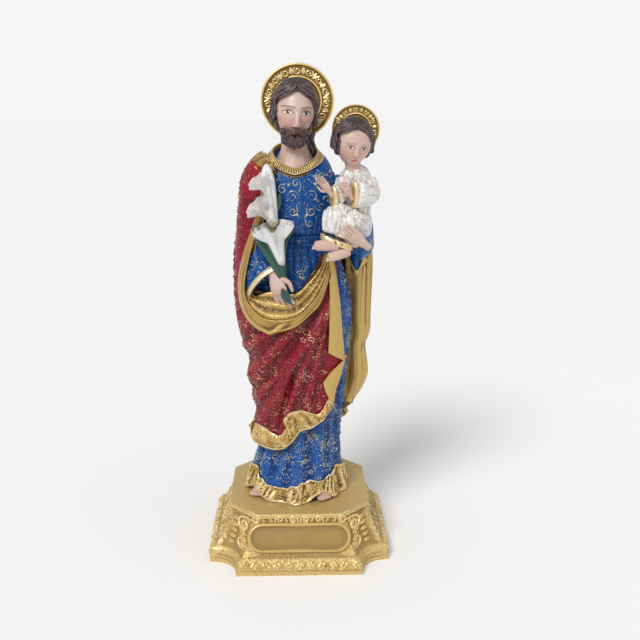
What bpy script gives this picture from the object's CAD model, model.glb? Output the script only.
import math

import bmesh
import bpy
import numpy as np
from mathutils import Matrix, Vector
from mathutils.bvhtree import BVHTree


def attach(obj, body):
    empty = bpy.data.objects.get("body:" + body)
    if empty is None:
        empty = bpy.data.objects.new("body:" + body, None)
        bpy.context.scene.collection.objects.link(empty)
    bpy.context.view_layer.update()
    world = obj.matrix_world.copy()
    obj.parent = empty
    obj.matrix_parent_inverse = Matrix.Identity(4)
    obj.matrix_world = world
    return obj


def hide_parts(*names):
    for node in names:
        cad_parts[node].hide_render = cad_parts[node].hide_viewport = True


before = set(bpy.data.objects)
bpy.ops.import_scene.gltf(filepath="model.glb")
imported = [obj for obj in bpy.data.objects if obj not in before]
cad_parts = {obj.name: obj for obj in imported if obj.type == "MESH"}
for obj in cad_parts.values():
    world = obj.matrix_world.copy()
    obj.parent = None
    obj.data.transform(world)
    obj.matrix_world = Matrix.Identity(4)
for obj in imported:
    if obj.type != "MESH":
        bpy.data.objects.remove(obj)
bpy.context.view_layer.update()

# The figure is carved in millimetres above its sole, and the base above its foot.
MM = 0.001
SOLE = 0.0349
FLOOR = 0.0
WELD, SEAM = 0.000002, 0.00003  # How near points are merged: everywhere, and where a cloth ring closes.
SHARP_EDGE = 50  # Degrees between faces from which an edge is drawn sharp.
RELIEF_REACH = 0.02  # How far a point stands out, in millimetres, for each step of the near relief.
RAY_REACH = 0.16  # How far a relief line is thrown to find the surface under it.
LONGEST_STEP = 0.0030  # A longer step between two points of a relief line is a jump across a gap.
LEAST_FACING = 0.26  # Below this, a surface is too steep for a relief line laid from outside.


# Curves and small sums.


def smooth_step(low, high, value):
    share = np.clip((value - low) / (high - low), 0, 1)
    return share * share * (3 - 2 * share)


def bump(value, centre, width):
    return np.exp(-(((value - centre) / width) ** 2))


def through(stations, value):
    table = np.array(stations, float)
    keys, numbers = table[:, 0], table[:, 1:]
    slopes = np.gradient(numbers, keys, axis=0)
    value = np.clip(value, keys[0], keys[-1])
    index = np.clip(np.searchsorted(keys, value, side="right") - 1, 0, len(keys) - 2)
    step = (keys[index + 1] - keys[index])[..., None]
    share = ((value - keys[index]) / step[..., 0])[..., None]
    start, end = numbers[index], numbers[index + 1]
    rise, fall = slopes[index] * step, slopes[index + 1] * step
    cube, square = share**3, share**2
    found = (2 * cube - 3 * square + 1) * start + (cube - 2 * square + share) * rise
    found = found + (3 * square - 2 * cube) * end + (cube - square) * fall
    return np.moveaxis(found, -1, 0)


def along(points, share, sharp=False):
    line = np.array(points, float)
    steps = np.linalg.norm(np.diff(line, axis=0), axis=1)
    keys = np.concatenate([[0], np.cumsum(steps)]) / steps.sum()
    if sharp:
        return [np.interp(share, keys, line[:, k]) for k in range(line.shape[1])]
    return through(np.column_stack([keys, line]), share)


def oval(left, right, front, back, angle, power=1.0):
    across = np.sign(np.sin(angle)) * np.abs(np.sin(angle)) ** power
    ahead = np.sign(np.cos(angle)) * np.abs(np.cos(angle)) ** power
    x = np.where(across < 0, across * left, across * right)
    y = np.where(ahead > 0, -ahead * front, -ahead * back)
    return x, y


def ridges(x, z, folds):
    height = np.zeros(np.broadcast(x, z).shape)
    for start, end, width, rise in folds:
        run = np.subtract(end, start).astype(float)
        length = np.hypot(*run)
        share = ((x - start[0]) * run[0] + (z - start[1]) * run[1]) / length**2
        aside = ((x - start[0]) * run[1] - (z - start[1]) * run[0]) / length
        ends = smooth_step(-0.15, 0.2, share) * smooth_step(1.15, 0.8, share)
        height = height + rise * bump(aside, 0, width) * ends
    return height


def unit(vectors):
    return vectors / np.maximum(np.linalg.norm(vectors, axis=-1, keepdims=True), 1e-9)


# Handling pieces.


def only(*chosen):
    bpy.ops.object.select_all(action="DESELECT")
    for piece in chosen:
        piece.select_set(True)
    bpy.context.view_layer.objects.active = chosen[0]


def apply(piece, kind, **settings):
    """Adds a modifier with these settings and makes it real."""
    only(piece)
    added = piece.modifiers.new(kind.lower(), kind)
    for key, value in settings.items():
        setattr(added, key, value)
    bpy.ops.object.modifier_apply(modifier=added.name)


def points_of(mesh):
    found = np.empty(len(mesh.vertices) * 3, np.float32)
    mesh.vertices.foreach_get("co", found)
    return found.reshape(-1, 3).astype(float)


def move_to(piece, points):
    """Moves a piece's points to these places, in millimetres above the sole."""
    places = np.column_stack([np.broadcast_to(row, len(piece.data.vertices)) for row in points]) * MM
    places[:, 2] += SOLE
    piece.data.vertices.foreach_set("co", places.astype(np.float32).ravel())
    piece.data.update()


def turn_outwards(piece):
    only(piece)
    bpy.ops.object.mode_set(mode="EDIT")
    bpy.ops.mesh.select_all(action="SELECT")
    bpy.ops.mesh.remove_doubles(threshold=WELD)
    bpy.ops.mesh.normals_make_consistent(inside=False)
    bpy.ops.object.mode_set(mode="OBJECT")


def ball(name, around, up, shape):
    """A closed form: a ball whose points shape(angle, share of the way up) places."""
    bpy.ops.object.select_all(action="DESELECT")
    bpy.ops.mesh.primitive_uv_sphere_add(segments=around, ring_count=up, radius=1, location=(0, 0, 0))
    piece = bpy.context.object
    piece.name = name
    start = points_of(piece.data)
    angle = np.arctan2(start[:, 0], -start[:, 1])
    share = 1 - np.arccos(np.clip(start[:, 2], -1, 1)) / math.pi
    move_to(piece, shape(angle, share))
    turn_outwards(piece)
    return piece


def along_stations(line, share):
    keys = np.linalg.norm(np.diff(line[:, :3], axis=0), axis=1)
    keys = np.concatenate([[0], np.cumsum(keys)]) / keys.sum()
    return through(np.column_stack([keys, line]), share)


def limb(name, stations, side, around=28, up=40, crease=None, dish=0.0):
    """A tapering round form along x, y, z, with half its width and half its depth at each place.
    Where dish is given, the far end is hollowed out as deep as that, like the mouth of a sleeve."""
    table = np.array(stations, float)
    sides = np.broadcast_to(np.array(side, float), (len(table), 3))
    line = np.column_stack([table, sides])

    def shape(angle, share):
        inner = np.clip((share - 0.8) / 0.2, 0, 1) if dish else 0 * share
        way = 0.5 - 0.5 * np.cos(math.pi * share)
        if dish:
            way = 1 - np.cos(math.pi / 2 * np.clip(share / 0.8, 0, 1))
        x, y, z, width, depth, *across = along_stations(line, way)
        ahead = along_stations(line, np.clip(way + 0.01, 0, 1))[:3]
        behind = along_stations(line, np.clip(way - 0.01, 0, 1))[:3]
        run = unit((np.array(ahead) - np.array(behind)).T)
        across = np.array(across).T
        across = unit(across - run * (across * run).sum(1)[:, None])
        outward = np.cross(across, run)
        ends = np.abs(2 * np.minimum(way, 0.5) - 1) if dish else np.abs(2 * way - 1)
        closing = np.sqrt(np.clip(1 - ((ends - 0.8) / 0.2).clip(0) ** 2, 0, 1))
        closing = closing * np.sqrt(np.clip(1 - inner**2, 0, 1)) * (1 - 0.12 * smooth_step(0, 0.1, inner))
        swell = closing * (1 + (crease(angle, way) if crease else 0))
        offset = across * (np.sin(angle) * width * swell)[:, None]
        offset += outward * (np.cos(angle) * depth * swell)[:, None]
        return np.array([x, y, z]) + offset.T - run.T * dish * np.sqrt(inner)

    return ball(name, around, up, shape)


def cloth(name, columns, rows, surface, thickness=1.6, keep=None, closed=False, lined=False):
    """A sheet of cast cloth: a grid whose points surface(u, v) places, thickened inwards."""
    bpy.ops.object.select_all(action="DESELECT")
    bpy.ops.mesh.primitive_grid_add(x_subdivisions=columns, y_subdivisions=rows, size=2, location=(0, 0, 0))
    piece = bpy.context.object
    piece.name = name
    start = points_of(piece.data)
    u, v = start[:, 0] / 2 + 0.5, start[:, 1] / 2 + 0.5
    if keep is not None:
        stays = keep(u, v)
        made = bmesh.new()
        made.from_mesh(piece.data)
        lost = [face for face in made.faces if not any(stays[vertex.index] for vertex in face.verts)]
    move_to(piece, surface(u, v))
    if keep is not None:
        for vertex, place in zip(made.verts, points_of(piece.data)):
            vertex.co = place
        bmesh.ops.delete(made, geom=lost, context="FACES")
        made.to_mesh(piece.data)
        made.free()
    if closed:
        only(piece)
        bpy.ops.object.mode_set(mode="EDIT")
        bpy.ops.mesh.select_all(action="SELECT")
        bpy.ops.mesh.remove_doubles(threshold=SEAM)
        bpy.ops.object.mode_set(mode="OBJECT")
    if lined:
        piece.data.materials.append(None)
        piece.data.materials.append(None)
        apply(piece, "SOLIDIFY", thickness=thickness * MM, offset=-1, material_offset=1, material_offset_rim=1)
    else:
        apply(piece, "SOLIDIFY", thickness=thickness * MM, offset=-1)
    return piece


def band(name, lower, upper, lift, columns=120, rows=14, sharp=False, thickness=2.6):
    """A strip of cloth on the front, between two lines of (x, z), lifted off the mantle."""

    def surface(u, v):
        x0, z0 = along(lower, u, sharp)
        x1, z1 = along(upper, u, sharp)
        x, z = x0 + (x1 - x0) * v, z0 + (z1 - z0) * v
        return x, mantle_front(x, z) - lift(u, v), z

    return cloth(name, columns, rows, surface, thickness)


def fuse(name, parts, voxel, rounds=2, soften=0.5):
    """Runs several forms into one skin."""
    only(*parts)
    if len(parts) > 1:
        bpy.ops.object.join()
    piece = bpy.context.view_layer.objects.active
    piece.name = name
    apply(piece, "REMESH", mode="VOXEL", voxel_size=voxel * MM)
    if rounds:
        apply(piece, "SMOOTH", factor=soften, iterations=rounds)
    return piece


def mark_relief(piece):
    """Stores how far each point stands out from its neighbours, near and wide, for the paint."""
    mesh = piece.data
    count = len(mesh.vertices)
    edges = np.empty(len(mesh.edges) * 2, np.int32)
    mesh.edges.foreach_get("vertices", edges)
    edges = edges.reshape(-1, 2)
    points = points_of(mesh)
    normals = np.empty(count * 3, np.float32)
    mesh.vertices.foreach_get("normal", normals)
    normals = normals.reshape(-1, 3)
    degree = np.bincount(edges.ravel(), minlength=count)[:, None] + 1e-9

    def mean(values):
        total = np.zeros_like(values)
        for k in range(values.shape[1]):
            total[:, k] = np.bincount(edges[:, 0], values[edges[:, 1], k], count)
            total[:, k] += np.bincount(edges[:, 1], values[edges[:, 0], k], count)
        return total / degree

    smooth = points.copy()
    for name, rounds, reach in (("near_relief", 3, RELIEF_REACH), ("wide_relief", 14, RELIEF_REACH * 5)):
        for _ in range(rounds):
            smooth = mean(smooth)
        rise = ((points - smooth) * normals).sum(1) / MM / reach
        layer = mesh.attributes.new(name, "FLOAT", "POINT")
        layer.data.foreach_set("value", np.clip(rise * 0.25 + 0.5, 0, 1).astype(np.float32))


def dress(piece, node, slot, *finishes):
    """Paints a piece and ties it to the solid that it stands for."""
    only(piece)
    bpy.ops.object.shade_smooth_by_angle(angle=math.radians(SHARP_EDGE))
    if len(piece.data.materials) == len(finishes) > 1:
        for index, finish in enumerate(finishes):
            piece.data.materials[index] = finish.material
    else:
        piece.data.materials.clear()
        for finish in finishes:
            piece.data.materials.append(finish.material)
    mark_relief(piece)
    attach(piece, "root")
    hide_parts(node)
    return piece


# Paint.


class Wire:
    """A socket that takes part in sums."""

    def __init__(self, finish, socket):
        self.finish, self.socket = finish, socket

    def sum(self, operation, *others):
        return self.finish.add("ShaderNodeMath", {"operation": operation}, dict(enumerate((self, *others))))

    def __add__(self, other):
        return self.sum("ADD", other)

    def __sub__(self, other):
        return self.sum("SUBTRACT", other)

    def __mul__(self, other):
        return self.sum("MULTIPLY", other)

    def __truediv__(self, other):
        return self.sum("DIVIDE", other)

    def __pow__(self, other):
        return self.sum("POWER", other)

    def split(self):
        parts = self.finish.tree.nodes.new("ShaderNodeSeparateXYZ")
        self.finish.tree.links.new(self.socket, parts.inputs[0])
        return [Wire(self.finish, socket) for socket in parts.outputs]

    def __rsub__(self, other):
        return self.finish.add("ShaderNodeMath", {"operation": "SUBTRACT"}, {0: other, 1: self})

    __radd__, __rmul__ = __add__, __mul__

    def between(self, low, high):
        """0 at low, 1 at high, softly."""
        return self.finish.add(
            "ShaderNodeMapRange", {"interpolation_type": "SMOOTHSTEP", "clamp": True},
            {"Value": self, "From Min": low, "From Max": high},
        )

    def size(self):
        return self.sum("ABSOLUTE")

    def most(self, other):
        return self.sum("MAXIMUM", other)


class Finish:
    """One painted finish, built up coat by coat."""

    def __init__(self, name, roughness=0.4, metallic=0.0, **constants):
        self.material = bpy.data.materials.new(name)
        self.material.use_nodes = True
        self.tree = self.material.node_tree
        self.shader = self.tree.nodes["Principled BSDF"]
        self.shader.inputs["Roughness"].default_value = roughness
        self.shader.inputs["Metallic"].default_value = metallic
        for key, value in constants.items():
            self.shader.inputs[key.replace("_", " ")].default_value = value
        place = self.tree.nodes.new("ShaderNodeTexCoord")
        self.place = Wire(self, place.outputs["Object"])

    def add(self, kind, settings, sockets, output=0):
        node = self.tree.nodes.new(kind)
        for key, value in settings.items():
            setattr(node, key, value)
        for key, value in sockets.items():
            socket = node.inputs[key]
            if isinstance(value, Wire):
                self.tree.links.new(value.socket, socket)
            else:
                socket.default_value = value
        return Wire(self, node.outputs[output])

    def noise(self, scale, detail=3.0, roughness=0.55, place=None, distortion=0.0):
        return self.add("ShaderNodeTexNoise", {},
                        {"Vector": place or self.place, "Scale": scale, "Detail": detail, "Roughness": roughness,
                         "Distortion": distortion})

    def cells(self, scale, feature="F1", randomness=1.0):
        return self.add("ShaderNodeTexVoronoi", {"feature": feature},
                        {"Vector": self.place, "Scale": scale, "Randomness": randomness})

    def relief(self, name="near_relief"):
        node = self.tree.nodes.new("ShaderNodeAttribute")
        node.attribute_name = name
        return Wire(self, node.outputs["Fac"])

    def mix(self, share, first, second):
        node = self.tree.nodes.new("ShaderNodeMix")
        node.data_type = "RGBA"
        for index, value in ((0, share), (6, first), (7, second)):
            if isinstance(value, Wire):
                self.tree.links.new(value.socket, node.inputs[index])
            elif index:
                node.inputs[index].default_value = (*value, 1)
            else:
                node.inputs[index].default_value = value
        return Wire(self, node.outputs[2])

    def feed(self, **sockets):
        for key, wire in sockets.items():
            self.tree.links.new(wire.socket, self.shader.inputs[key.replace("_", " ")])

    def rough_skin(self, height, strength, distance):
        """Turns a height, in the units of distance, into a fine relief of the paint."""
        node = self.tree.nodes.new("ShaderNodeBump")
        node.inputs["Strength"].default_value = strength
        node.inputs["Distance"].default_value = distance
        self.tree.links.new(height.socket, node.inputs["Height"])
        self.tree.links.new(node.outputs["Normal"], self.shader.inputs["Normal"])


def enamel(name, deep, bright, rubbed, rubbed_share=0.55, wash=None):
    """Cloth paint: a glossy coat, darker in the hollows, rubbed with pale gold on what stands out."""
    coat = Finish(name, 0.30, 0.0, Coat_Weight=0.04, Coat_Roughness=0.2, Specular_IOR_Level=0.26)
    near, wide = coat.relief(), coat.relief("wide_relief")
    patch = coat.noise(70, 4)
    base = coat.mix((wide * 0.7 + near * 0.3 + patch * 0.35).between(0.50, 1.00), deep, bright)
    speck = coat.noise(1150, 2, 0.7).between(0.57, 0.66)
    clustered = coat.noise(75, 3, 0.6).between(0.42, 0.60)
    ridge = (near * 0.9 + wide * 0.3 + patch * 0.3).between(1.02, 1.30)
    rub = (speck * (0.18 + clustered * 0.82)).most(ridge * speck) * rubbed_share
    if wash:
        low, top, side, wash_colour = wash
        x, _, z = coat.place.split()
        worn = z.between(top, low) * x.between(side, side - 0.03) * coat.noise(55, 4, 0.6).between(0.42, 0.62)
        base = coat.mix(worn * 0.7, base, wash_colour)
    colour = coat.mix(rub, base, rubbed)
    coat.feed(Base_Color=colour, Roughness=0.22 + patch * 0.16 + rub * 0.1, Metallic=rub * 0.55)
    coat.rough_skin(coat.noise(1400, 2, 0.6) * 0.6 + coat.noise(260, 2) * 0.6, 0.35, 0.0003)
    return coat


TOP_PLATE = 0.0337  # The height from which the base is smooth.


def gilt(name, deep, bright, dark=0.5, grain=900, rough=0.34, metal=0.85, silver=0.0, stipple=0.0):
    """Gold paint: brown in the hollows, bright where it was rubbed."""
    coat = Finish(name, rough, metal)
    near, wide = coat.relief(), coat.relief("wide_relief")
    patch = coat.noise(85, 5, 0.6)
    speck = coat.noise(grain, 3, 0.7)
    height = near * 0.55 + wide * 0.45 + patch * 0.35 + speck * 0.25
    colour = coat.mix(height.between(0.70, 1.12), deep, bright)
    colour = coat.mix(height.between(0.80, 0.52) * dark, colour, (0.075, 0.036, 0.010))
    if stipple:
        slope = coat.place.split()[2].between(TOP_PLATE, TOP_PLATE - 0.0007)
        dots = coat.cells(620).between(0.40, 0.18) * patch.between(0.35, 0.6) * slope
        colour = coat.mix(dots * stipple, colour, (0.12, 0.065, 0.020))
    if silver:
        colour = coat.mix(height.between(1.12, 1.32) * silver, colour, (0.90, 0.86, 0.74))
    coat.feed(Base_Color=colour, Roughness=rough + 0.22 - height * 0.2, Metallic=metal - height.between(0.8, 0.5) * 0.4)
    if stipple:
        pits = coat.cells(620).between(0.42, 0.20)
        coat.rough_skin(speck * 0.6 - pits, 0.5, 0.0005)
    else:
        coat.rough_skin(speck + coat.noise(grain * 2.3, 1) * 0.5, 0.3, 0.00035)
    return coat


robe_blue = enamel("robe_blue", (0.0005, 0.028, 0.14), (0.0010, 0.076, 0.31), (0.50, 0.52, 0.44), 0.5)
mantle_red = enamel("mantle_red", (0.105, 0.0012, 0.007), (0.25, 0.003, 0.016), (0.58, 0.36, 0.22), 0.5,
                    wash=(0.085, 0.150, -0.004, (0.20, 0.055, 0.035)))
lining_gold = gilt("lining_gold", (0.29, 0.165, 0.038), (0.57, 0.385, 0.12), 0.8, 1100, 0.38, 0.45)
lace_gold = gilt("lace_gold", (0.31, 0.175, 0.036), (0.70, 0.48, 0.16), 0.75, 900, 0.34, 0.5, 0.5)
halo_gold = gilt("halo_gold", (0.46, 0.27, 0.05), (0.88, 0.60, 0.17), 0.6, 800, 0.32, 0.5, 0.3)
base_gold = gilt("base_gold", (0.42, 0.26, 0.07), (0.80, 0.57, 0.20), 0.65, 700, 0.34, 0.45, 0.18)
base_plain = gilt("base_plain", (0.42, 0.27, 0.085), (0.64, 0.46, 0.17), 0.35, 520, 0.40, 0.4)
base_dotted = gilt("base_dotted", (0.42, 0.27, 0.085), (0.66, 0.48, 0.19), 0.15, 520, 0.40, 0.4, stipple=0.5)


def scroll_paint(name, ground, high, share):
    """Relief lines on painted cloth: the ground colour low down, rubbed pale on top."""
    coat = Finish(name, 0.33, 0.2, Coat_Weight=0.06, Coat_Roughness=0.25, Specular_IOR_Level=0.4)
    patch = coat.noise(120, 4, 0.6)
    speck = coat.noise(1100, 2, 0.6)
    worn = (patch * 0.8 + speck * 0.5).between(0.80 - share * 0.25, 0.92 - share * 0.20)
    coat.feed(Base_Color=coat.mix(worn, ground, high), Metallic=worn * 0.6, Roughness=0.28 + speck * 0.2)
    return coat


robe_scroll = scroll_paint("robe_scroll", (0.002, 0.088, 0.34), (0.56, 0.57, 0.43), 0.85)
robe_scroll_low = scroll_paint("robe_scroll_low", (0.002, 0.085, 0.32), (0.50, 0.52, 0.42), 0.80)
mantle_scroll = scroll_paint("mantle_scroll", (0.25, 0.004, 0.018), (0.62, 0.41, 0.25), 0.62)
gold_scroll = scroll_paint("gold_scroll", (0.46, 0.28, 0.07), (0.88, 0.72, 0.36), 0.95)
tunic_scroll = scroll_paint("tunic_scroll", (0.72, 0.70, 0.67), (0.84, 0.82, 0.80), 0.9)


def pearl():
    coat = Finish("pearl_white", 0.30, 0.0, Coat_Weight=0.4, Coat_Roughness=0.2)
    near, wide = coat.relief(), coat.relief("wide_relief")
    patch = coat.noise(160, 4, 0.6)
    hollow = (near * 0.5 + wide * 0.6 + patch * 0.3).between(0.72, 0.45)
    colour = coat.mix(patch.between(0.4, 0.7), (0.80, 0.78, 0.76), (0.74, 0.76, 0.80))
    colour = coat.mix(hollow * 0.5, colour, (0.42, 0.32, 0.24))
    coat.feed(Base_Color=colour, Roughness=0.24 + patch * 0.16)
    coat.rough_skin(coat.noise(600, 3, 0.6), 0.25, 0.0004)
    return coat


def tunic_paint():
    coat = Finish("tunic_white", 0.32, 0.0, Coat_Weight=0.4, Coat_Roughness=0.22)
    near, wide = coat.relief(), coat.relief("wide_relief")
    patch = coat.noise(200, 4, 0.6)
    hollow = (near * 0.5 + wide * 0.6 + patch * 0.35).between(0.78, 0.45)
    colour = coat.mix(patch.between(0.4, 0.7), (0.80, 0.77, 0.74), (0.70, 0.70, 0.72))
    colour = coat.mix(hollow * 0.65, colour, (0.46, 0.32, 0.24))
    gold_speck = coat.noise(700, 2, 0.6).between(0.60, 0.70) * coat.noise(140, 2).between(0.5, 0.62) * 0.55
    colour = coat.mix(gold_speck, colour, (0.62, 0.42, 0.18))
    coat.feed(Base_Color=colour, Roughness=0.26 + patch * 0.16)
    petals = coat.cells(330, "SMOOTH_F1").between(0.0, 0.75)
    coat.rough_skin(petals + coat.noise(800, 2) * 0.3, 0.45, 0.0006)
    return coat


def hair_paint():
    coat = Finish("hair", 0.42, 0.0, Coat_Weight=0.15, Coat_Roughness=0.3)
    near, wide = coat.relief(), coat.relief("wide_relief")
    streak = coat.noise(500, 3, 0.6)
    high = (near * 0.8 + wide * 0.3 + streak * 0.35).between(0.90, 1.30)
    colour = coat.mix(high * 0.9, (0.009, 0.005, 0.006), (0.135, 0.078, 0.085))
    coat.feed(Base_Color=colour, Roughness=0.36 + streak * 0.15)
    coat.rough_skin(streak, 0.3, 0.0003)
    return coat


FLESH = {"Subsurface_Weight": 0.12, "Subsurface_Radius": (0.004, 0.0016, 0.0009), "Subsurface_Scale": 0.4}


def skin_paint():
    coat = Finish("skin", 0.42, 0.0, Coat_Weight=0.12, Coat_Roughness=0.35, **FLESH)
    near, wide = coat.relief(), coat.relief("wide_relief")
    patch = coat.noise(90, 4, 0.5)
    hollow = (near * 0.6 + wide * 0.6).between(0.58, 0.40)
    colour = coat.mix(patch.between(0.35, 0.7), (0.57, 0.39, 0.32), (0.62, 0.46, 0.39))
    colour = coat.mix(hollow * 0.6, colour, (0.50, 0.22, 0.16))
    coat.feed(Base_Color=colour, Roughness=0.36 + patch * 0.12)
    coat.rough_skin(coat.noise(900, 2), 0.12, 0.0002)
    return coat


def leaf_paint():
    coat = Finish("leaf_green", 0.34, 0.0, Coat_Weight=0.4, Coat_Roughness=0.2)
    patch = coat.noise(220, 4, 0.6)
    near = coat.relief()
    colour = coat.mix((near + patch * 0.5).between(0.55, 0.95), (0.003, 0.022, 0.016), (0.012, 0.075, 0.05))
    coat.feed(Base_Color=colour, Roughness=0.26 + patch * 0.16)
    coat.rough_skin(coat.noise(700, 2), 0.2, 0.0003)
    return coat


pearl_white = pearl()
tunic_white = tunic_paint()
hair_brown = hair_paint()
skin = skin_paint()
leaf_green = leaf_paint()


def face_paint(name, child):
    """Skin with painted eyes, brows, lips and blushed cheeks, on the head's own right and up."""
    eye, nose, mouth = (-0.06, -0.235, -0.33) if child else (0.0, -0.215, -0.325)
    brow_width, brow_share, lip_width = (0.008, 0.6, 0.07) if child else (0.013, 0.75, 0.085)
    coat = Finish(name, 0.42, 0.0, Coat_Weight=0.15, Coat_Roughness=0.3, **FLESH)
    map_node = coat.tree.nodes.new("ShaderNodeUVMap")
    map_node.uv_map = "head"
    x, z, _ = Wire(coat, map_node.outputs[0]).split()
    x, z = x - 0.5, z - 0.5
    aside = x.size()
    apart = 0.15

    def spot(off, up, radius, soft, sharp):
        return ((off / radius) ** 2 + ((z - up) / radius) ** 2).between(soft, sharp)

    def blot(across, up, wide, tall, soft=1.35):
        reach = ((aside - across) / wide) ** 2 + ((z - up) / tall) ** 2
        return reach.between(soft, 1.0)

    patch = coat.noise(80, 4, 0.5)
    near = coat.relief()
    colour = coat.mix(patch.between(0.35, 0.7), (0.58, 0.41, 0.34), (0.63, 0.48, 0.41))
    colour = coat.mix(near.between(0.42, 0.30) * 0.4, colour, (0.50, 0.22, 0.16))
    colour = coat.mix(blot(0.19, nose + 0.04, 0.10, 0.09, 3.0) * 0.30, colour, (0.66, 0.22, 0.17))
    bend = (aside - apart) / 0.075
    upper = eye + 0.034 - bend * bend * 0.030
    lower = eye - 0.024 + bend * bend * 0.022
    opened = (upper - z).between(0.0, 0.008) * (z - lower).between(0.0, 0.008)
    colour = coat.mix(blot(apart, eye + 0.005, 0.095, 0.06, 1.6) * 0.25, colour, (0.50, 0.25, 0.20))
    colour = coat.mix(opened, colour, (0.80, 0.78, 0.75))
    iris = spot(aside - apart, eye + 0.004, 0.030, 1.15, 0.9)
    colour = coat.mix(iris * opened, colour, (0.07, 0.028, 0.012))
    pupil = spot(aside - apart, eye + 0.004, 0.014, 1.2, 0.8)
    colour = coat.mix(pupil * opened, colour, (0.004, 0.003, 0.003))
    glint = spot(x - 0.158, eye + 0.014, 0.006, 1.3, 0.8).most(spot(x + 0.142, eye + 0.014, 0.006, 1.3, 0.8))
    colour = coat.mix(glint * opened, colour, (0.9, 0.9, 0.9))
    lash = ((z - upper).size() / 0.010).between(1.2, 0.5) * bend.size().between(1.25, 1.0)
    colour = coat.mix(lash * 0.85, colour, (0.06, 0.028, 0.02))
    arch = (aside - 0.155) / 0.11
    brow = ((z - (eye + 0.098 - arch * arch * 0.020)).size() / brow_width).between(1.3, 0.4)
    brow = brow * arch.size().between(1.1, 0.8)
    colour = coat.mix(brow * brow_share, colour, (0.14, 0.065, 0.035))
    lips = ((x / lip_width) ** 2 + ((z - mouth) / 0.030) ** 2).between(1.15, 0.7)
    colour = coat.mix(lips * 0.85, colour, (0.66, 0.16, 0.13))
    line = ((z - mouth).size() / 0.005).between(1.3, 0.4) * (aside / 0.08).between(1.0, 0.75)
    colour = coat.mix(line * 0.7, colour, (0.25, 0.04, 0.035))
    nostril = blot(0.022, nose - 0.012, 0.012, 0.007, 1.8)
    colour = coat.mix(nostril * 0.7, colour, (0.28, 0.09, 0.06))
    coat.feed(Base_Color=colour, Roughness=0.36 + patch * 0.12 - lips * 0.1 - opened * 0.12)
    coat.rough_skin(coat.noise(900, 2), 0.1, 0.0002)
    return coat


saint_face = face_paint("saint_face", False)
child_face = face_paint("child_face", True)


# The robe.

SHOULDER = 187
ROBE_RINGS = [
    (0, 31.5, 28.8, 28.5, 26),
    (8, 30.5, 27.8, 27.0, 25),
    (18, 28.4, 26.6, 25.0, 23.5),
    (31, 24.4, 26.0, 22.8, 22),
    (56, 21.8, 27.4, 20.5, 21),
    (78, 22.4, 30.2, 20.0, 21),
    (97, 23.4, 32.0, 19.5, 20),
    (125, 24.0, 32.6, 19.5, 19.5),
    (150, 22.5, 26.0, 18.5, 18.5),
    (163, 21.0, 21.5, 17.2, 17.2),
    (178, 23.5, 23.0, 18.6, 17.5),
    (190, 25.5, 24.0, 18.2, 17),
    (197, 25.5, 23.5, 17.0, 16),
]


def collar_line(angle, grow=0.0):
    x = -1.0 + (14.2 + grow) * np.sin(angle)
    y = -2.3 - (12.2 + grow) * np.cos(angle)
    z = 202.5 + 14.5 * np.abs(np.sin(angle / 2)) ** 1.3
    return x, y, z


def over_shoulder(angle, x, y, z, share, grow=0.0, rise=0.0):
    """Rounds a ring of cloth over the shoulder and in to the collar."""
    cx, cy, cz = collar_line(angle, grow)
    inward, upward = 1 - np.cos(share * math.pi / 2), np.sin(share * math.pi / 2)
    return x + (cx - x) * inward, y + (cy - y) * inward, z + (cz + rise - z) * upward


def robe_pleats(angle, z):
    depth = 1.5 * smooth_step(150, 20, z)
    wander = 0.25 * np.sin(z / 23)
    folds = np.cos(9 * angle + wander * 5) * 0.6 + np.cos(14 * angle + 1.3 - wander * 7) * 0.4
    gathers = 0.16 * np.cos(37 * angle) * bump(z, 169, 6) + 0.22 * np.cos(31 * angle) * bump(z, 153, 9)
    return depth * folds + gathers


def robe_surface(angle, z, lift=0.0):
    left, right, front, back = through(ROBE_RINGS, z)
    lift = lift + robe_pleats(angle, z) - 1.4 * bump(z, 163, 4)
    return oval(left + lift, right + lift, front + lift, back + lift, angle)


def robe_shape(angle, share):
    rising = np.clip((share - 0.05) / 0.76, 0, 1)
    z = SHOULDER * rising
    x, y = robe_surface(angle, z, -2.6 * smooth_step(9, 3, z))
    sole = smooth_step(0, 0.05, share)
    x, y = x * sole, y * sole
    x, y, z = over_shoulder(angle, x, y, z, np.clip((share - 0.81) / 0.14, 0, 1))
    closing = smooth_step(0.95, 1.0, share)
    return x * (1 - closing), y * (1 - closing) - 2 * closing, z + (205 - z) * closing


dress(ball("robe", 220, 270, robe_shape), "figure", "robe_blue", robe_blue)


def belt_surface(u, v):
    angle = (u - 0.5) * 2 * math.pi
    rims = 0.7 * bump(v, 0.1, 0.08) + 0.7 * bump(v, 0.9, 0.08)
    x, y = robe_surface(angle, 160 + 5.6 * v, 2.0 + rims)
    return x, y, 160 + 5.6 * v


dress(cloth("belt", 200, 14, belt_surface, 2.4, closed=True), "figure", "robe_blue", robe_blue)


def collar_surface(u, v):
    angle = (u - 0.5) * 2 * math.pi
    x, y, z = collar_line(angle, 2.8 - 3.6 * v)
    ribs = 0.32 * np.abs(np.cos(34 * angle)) * smooth_step(0.1, 0.3, v) * smooth_step(0.9, 0.7, v)
    rims = 0.45 * bump(v, 0.08, 0.07) + 0.4 * bump(v, 0.95, 0.07)
    return x, y - (0.9 + ribs + rims) * np.cos(angle), z - 1.8 + 3.6 * v + 0.8 + (ribs + rims) * 0.7


dress(cloth("collar", 420, 16, collar_surface, 2.2, closed=True), "figure", "lining_gold", lace_gold)


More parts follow.
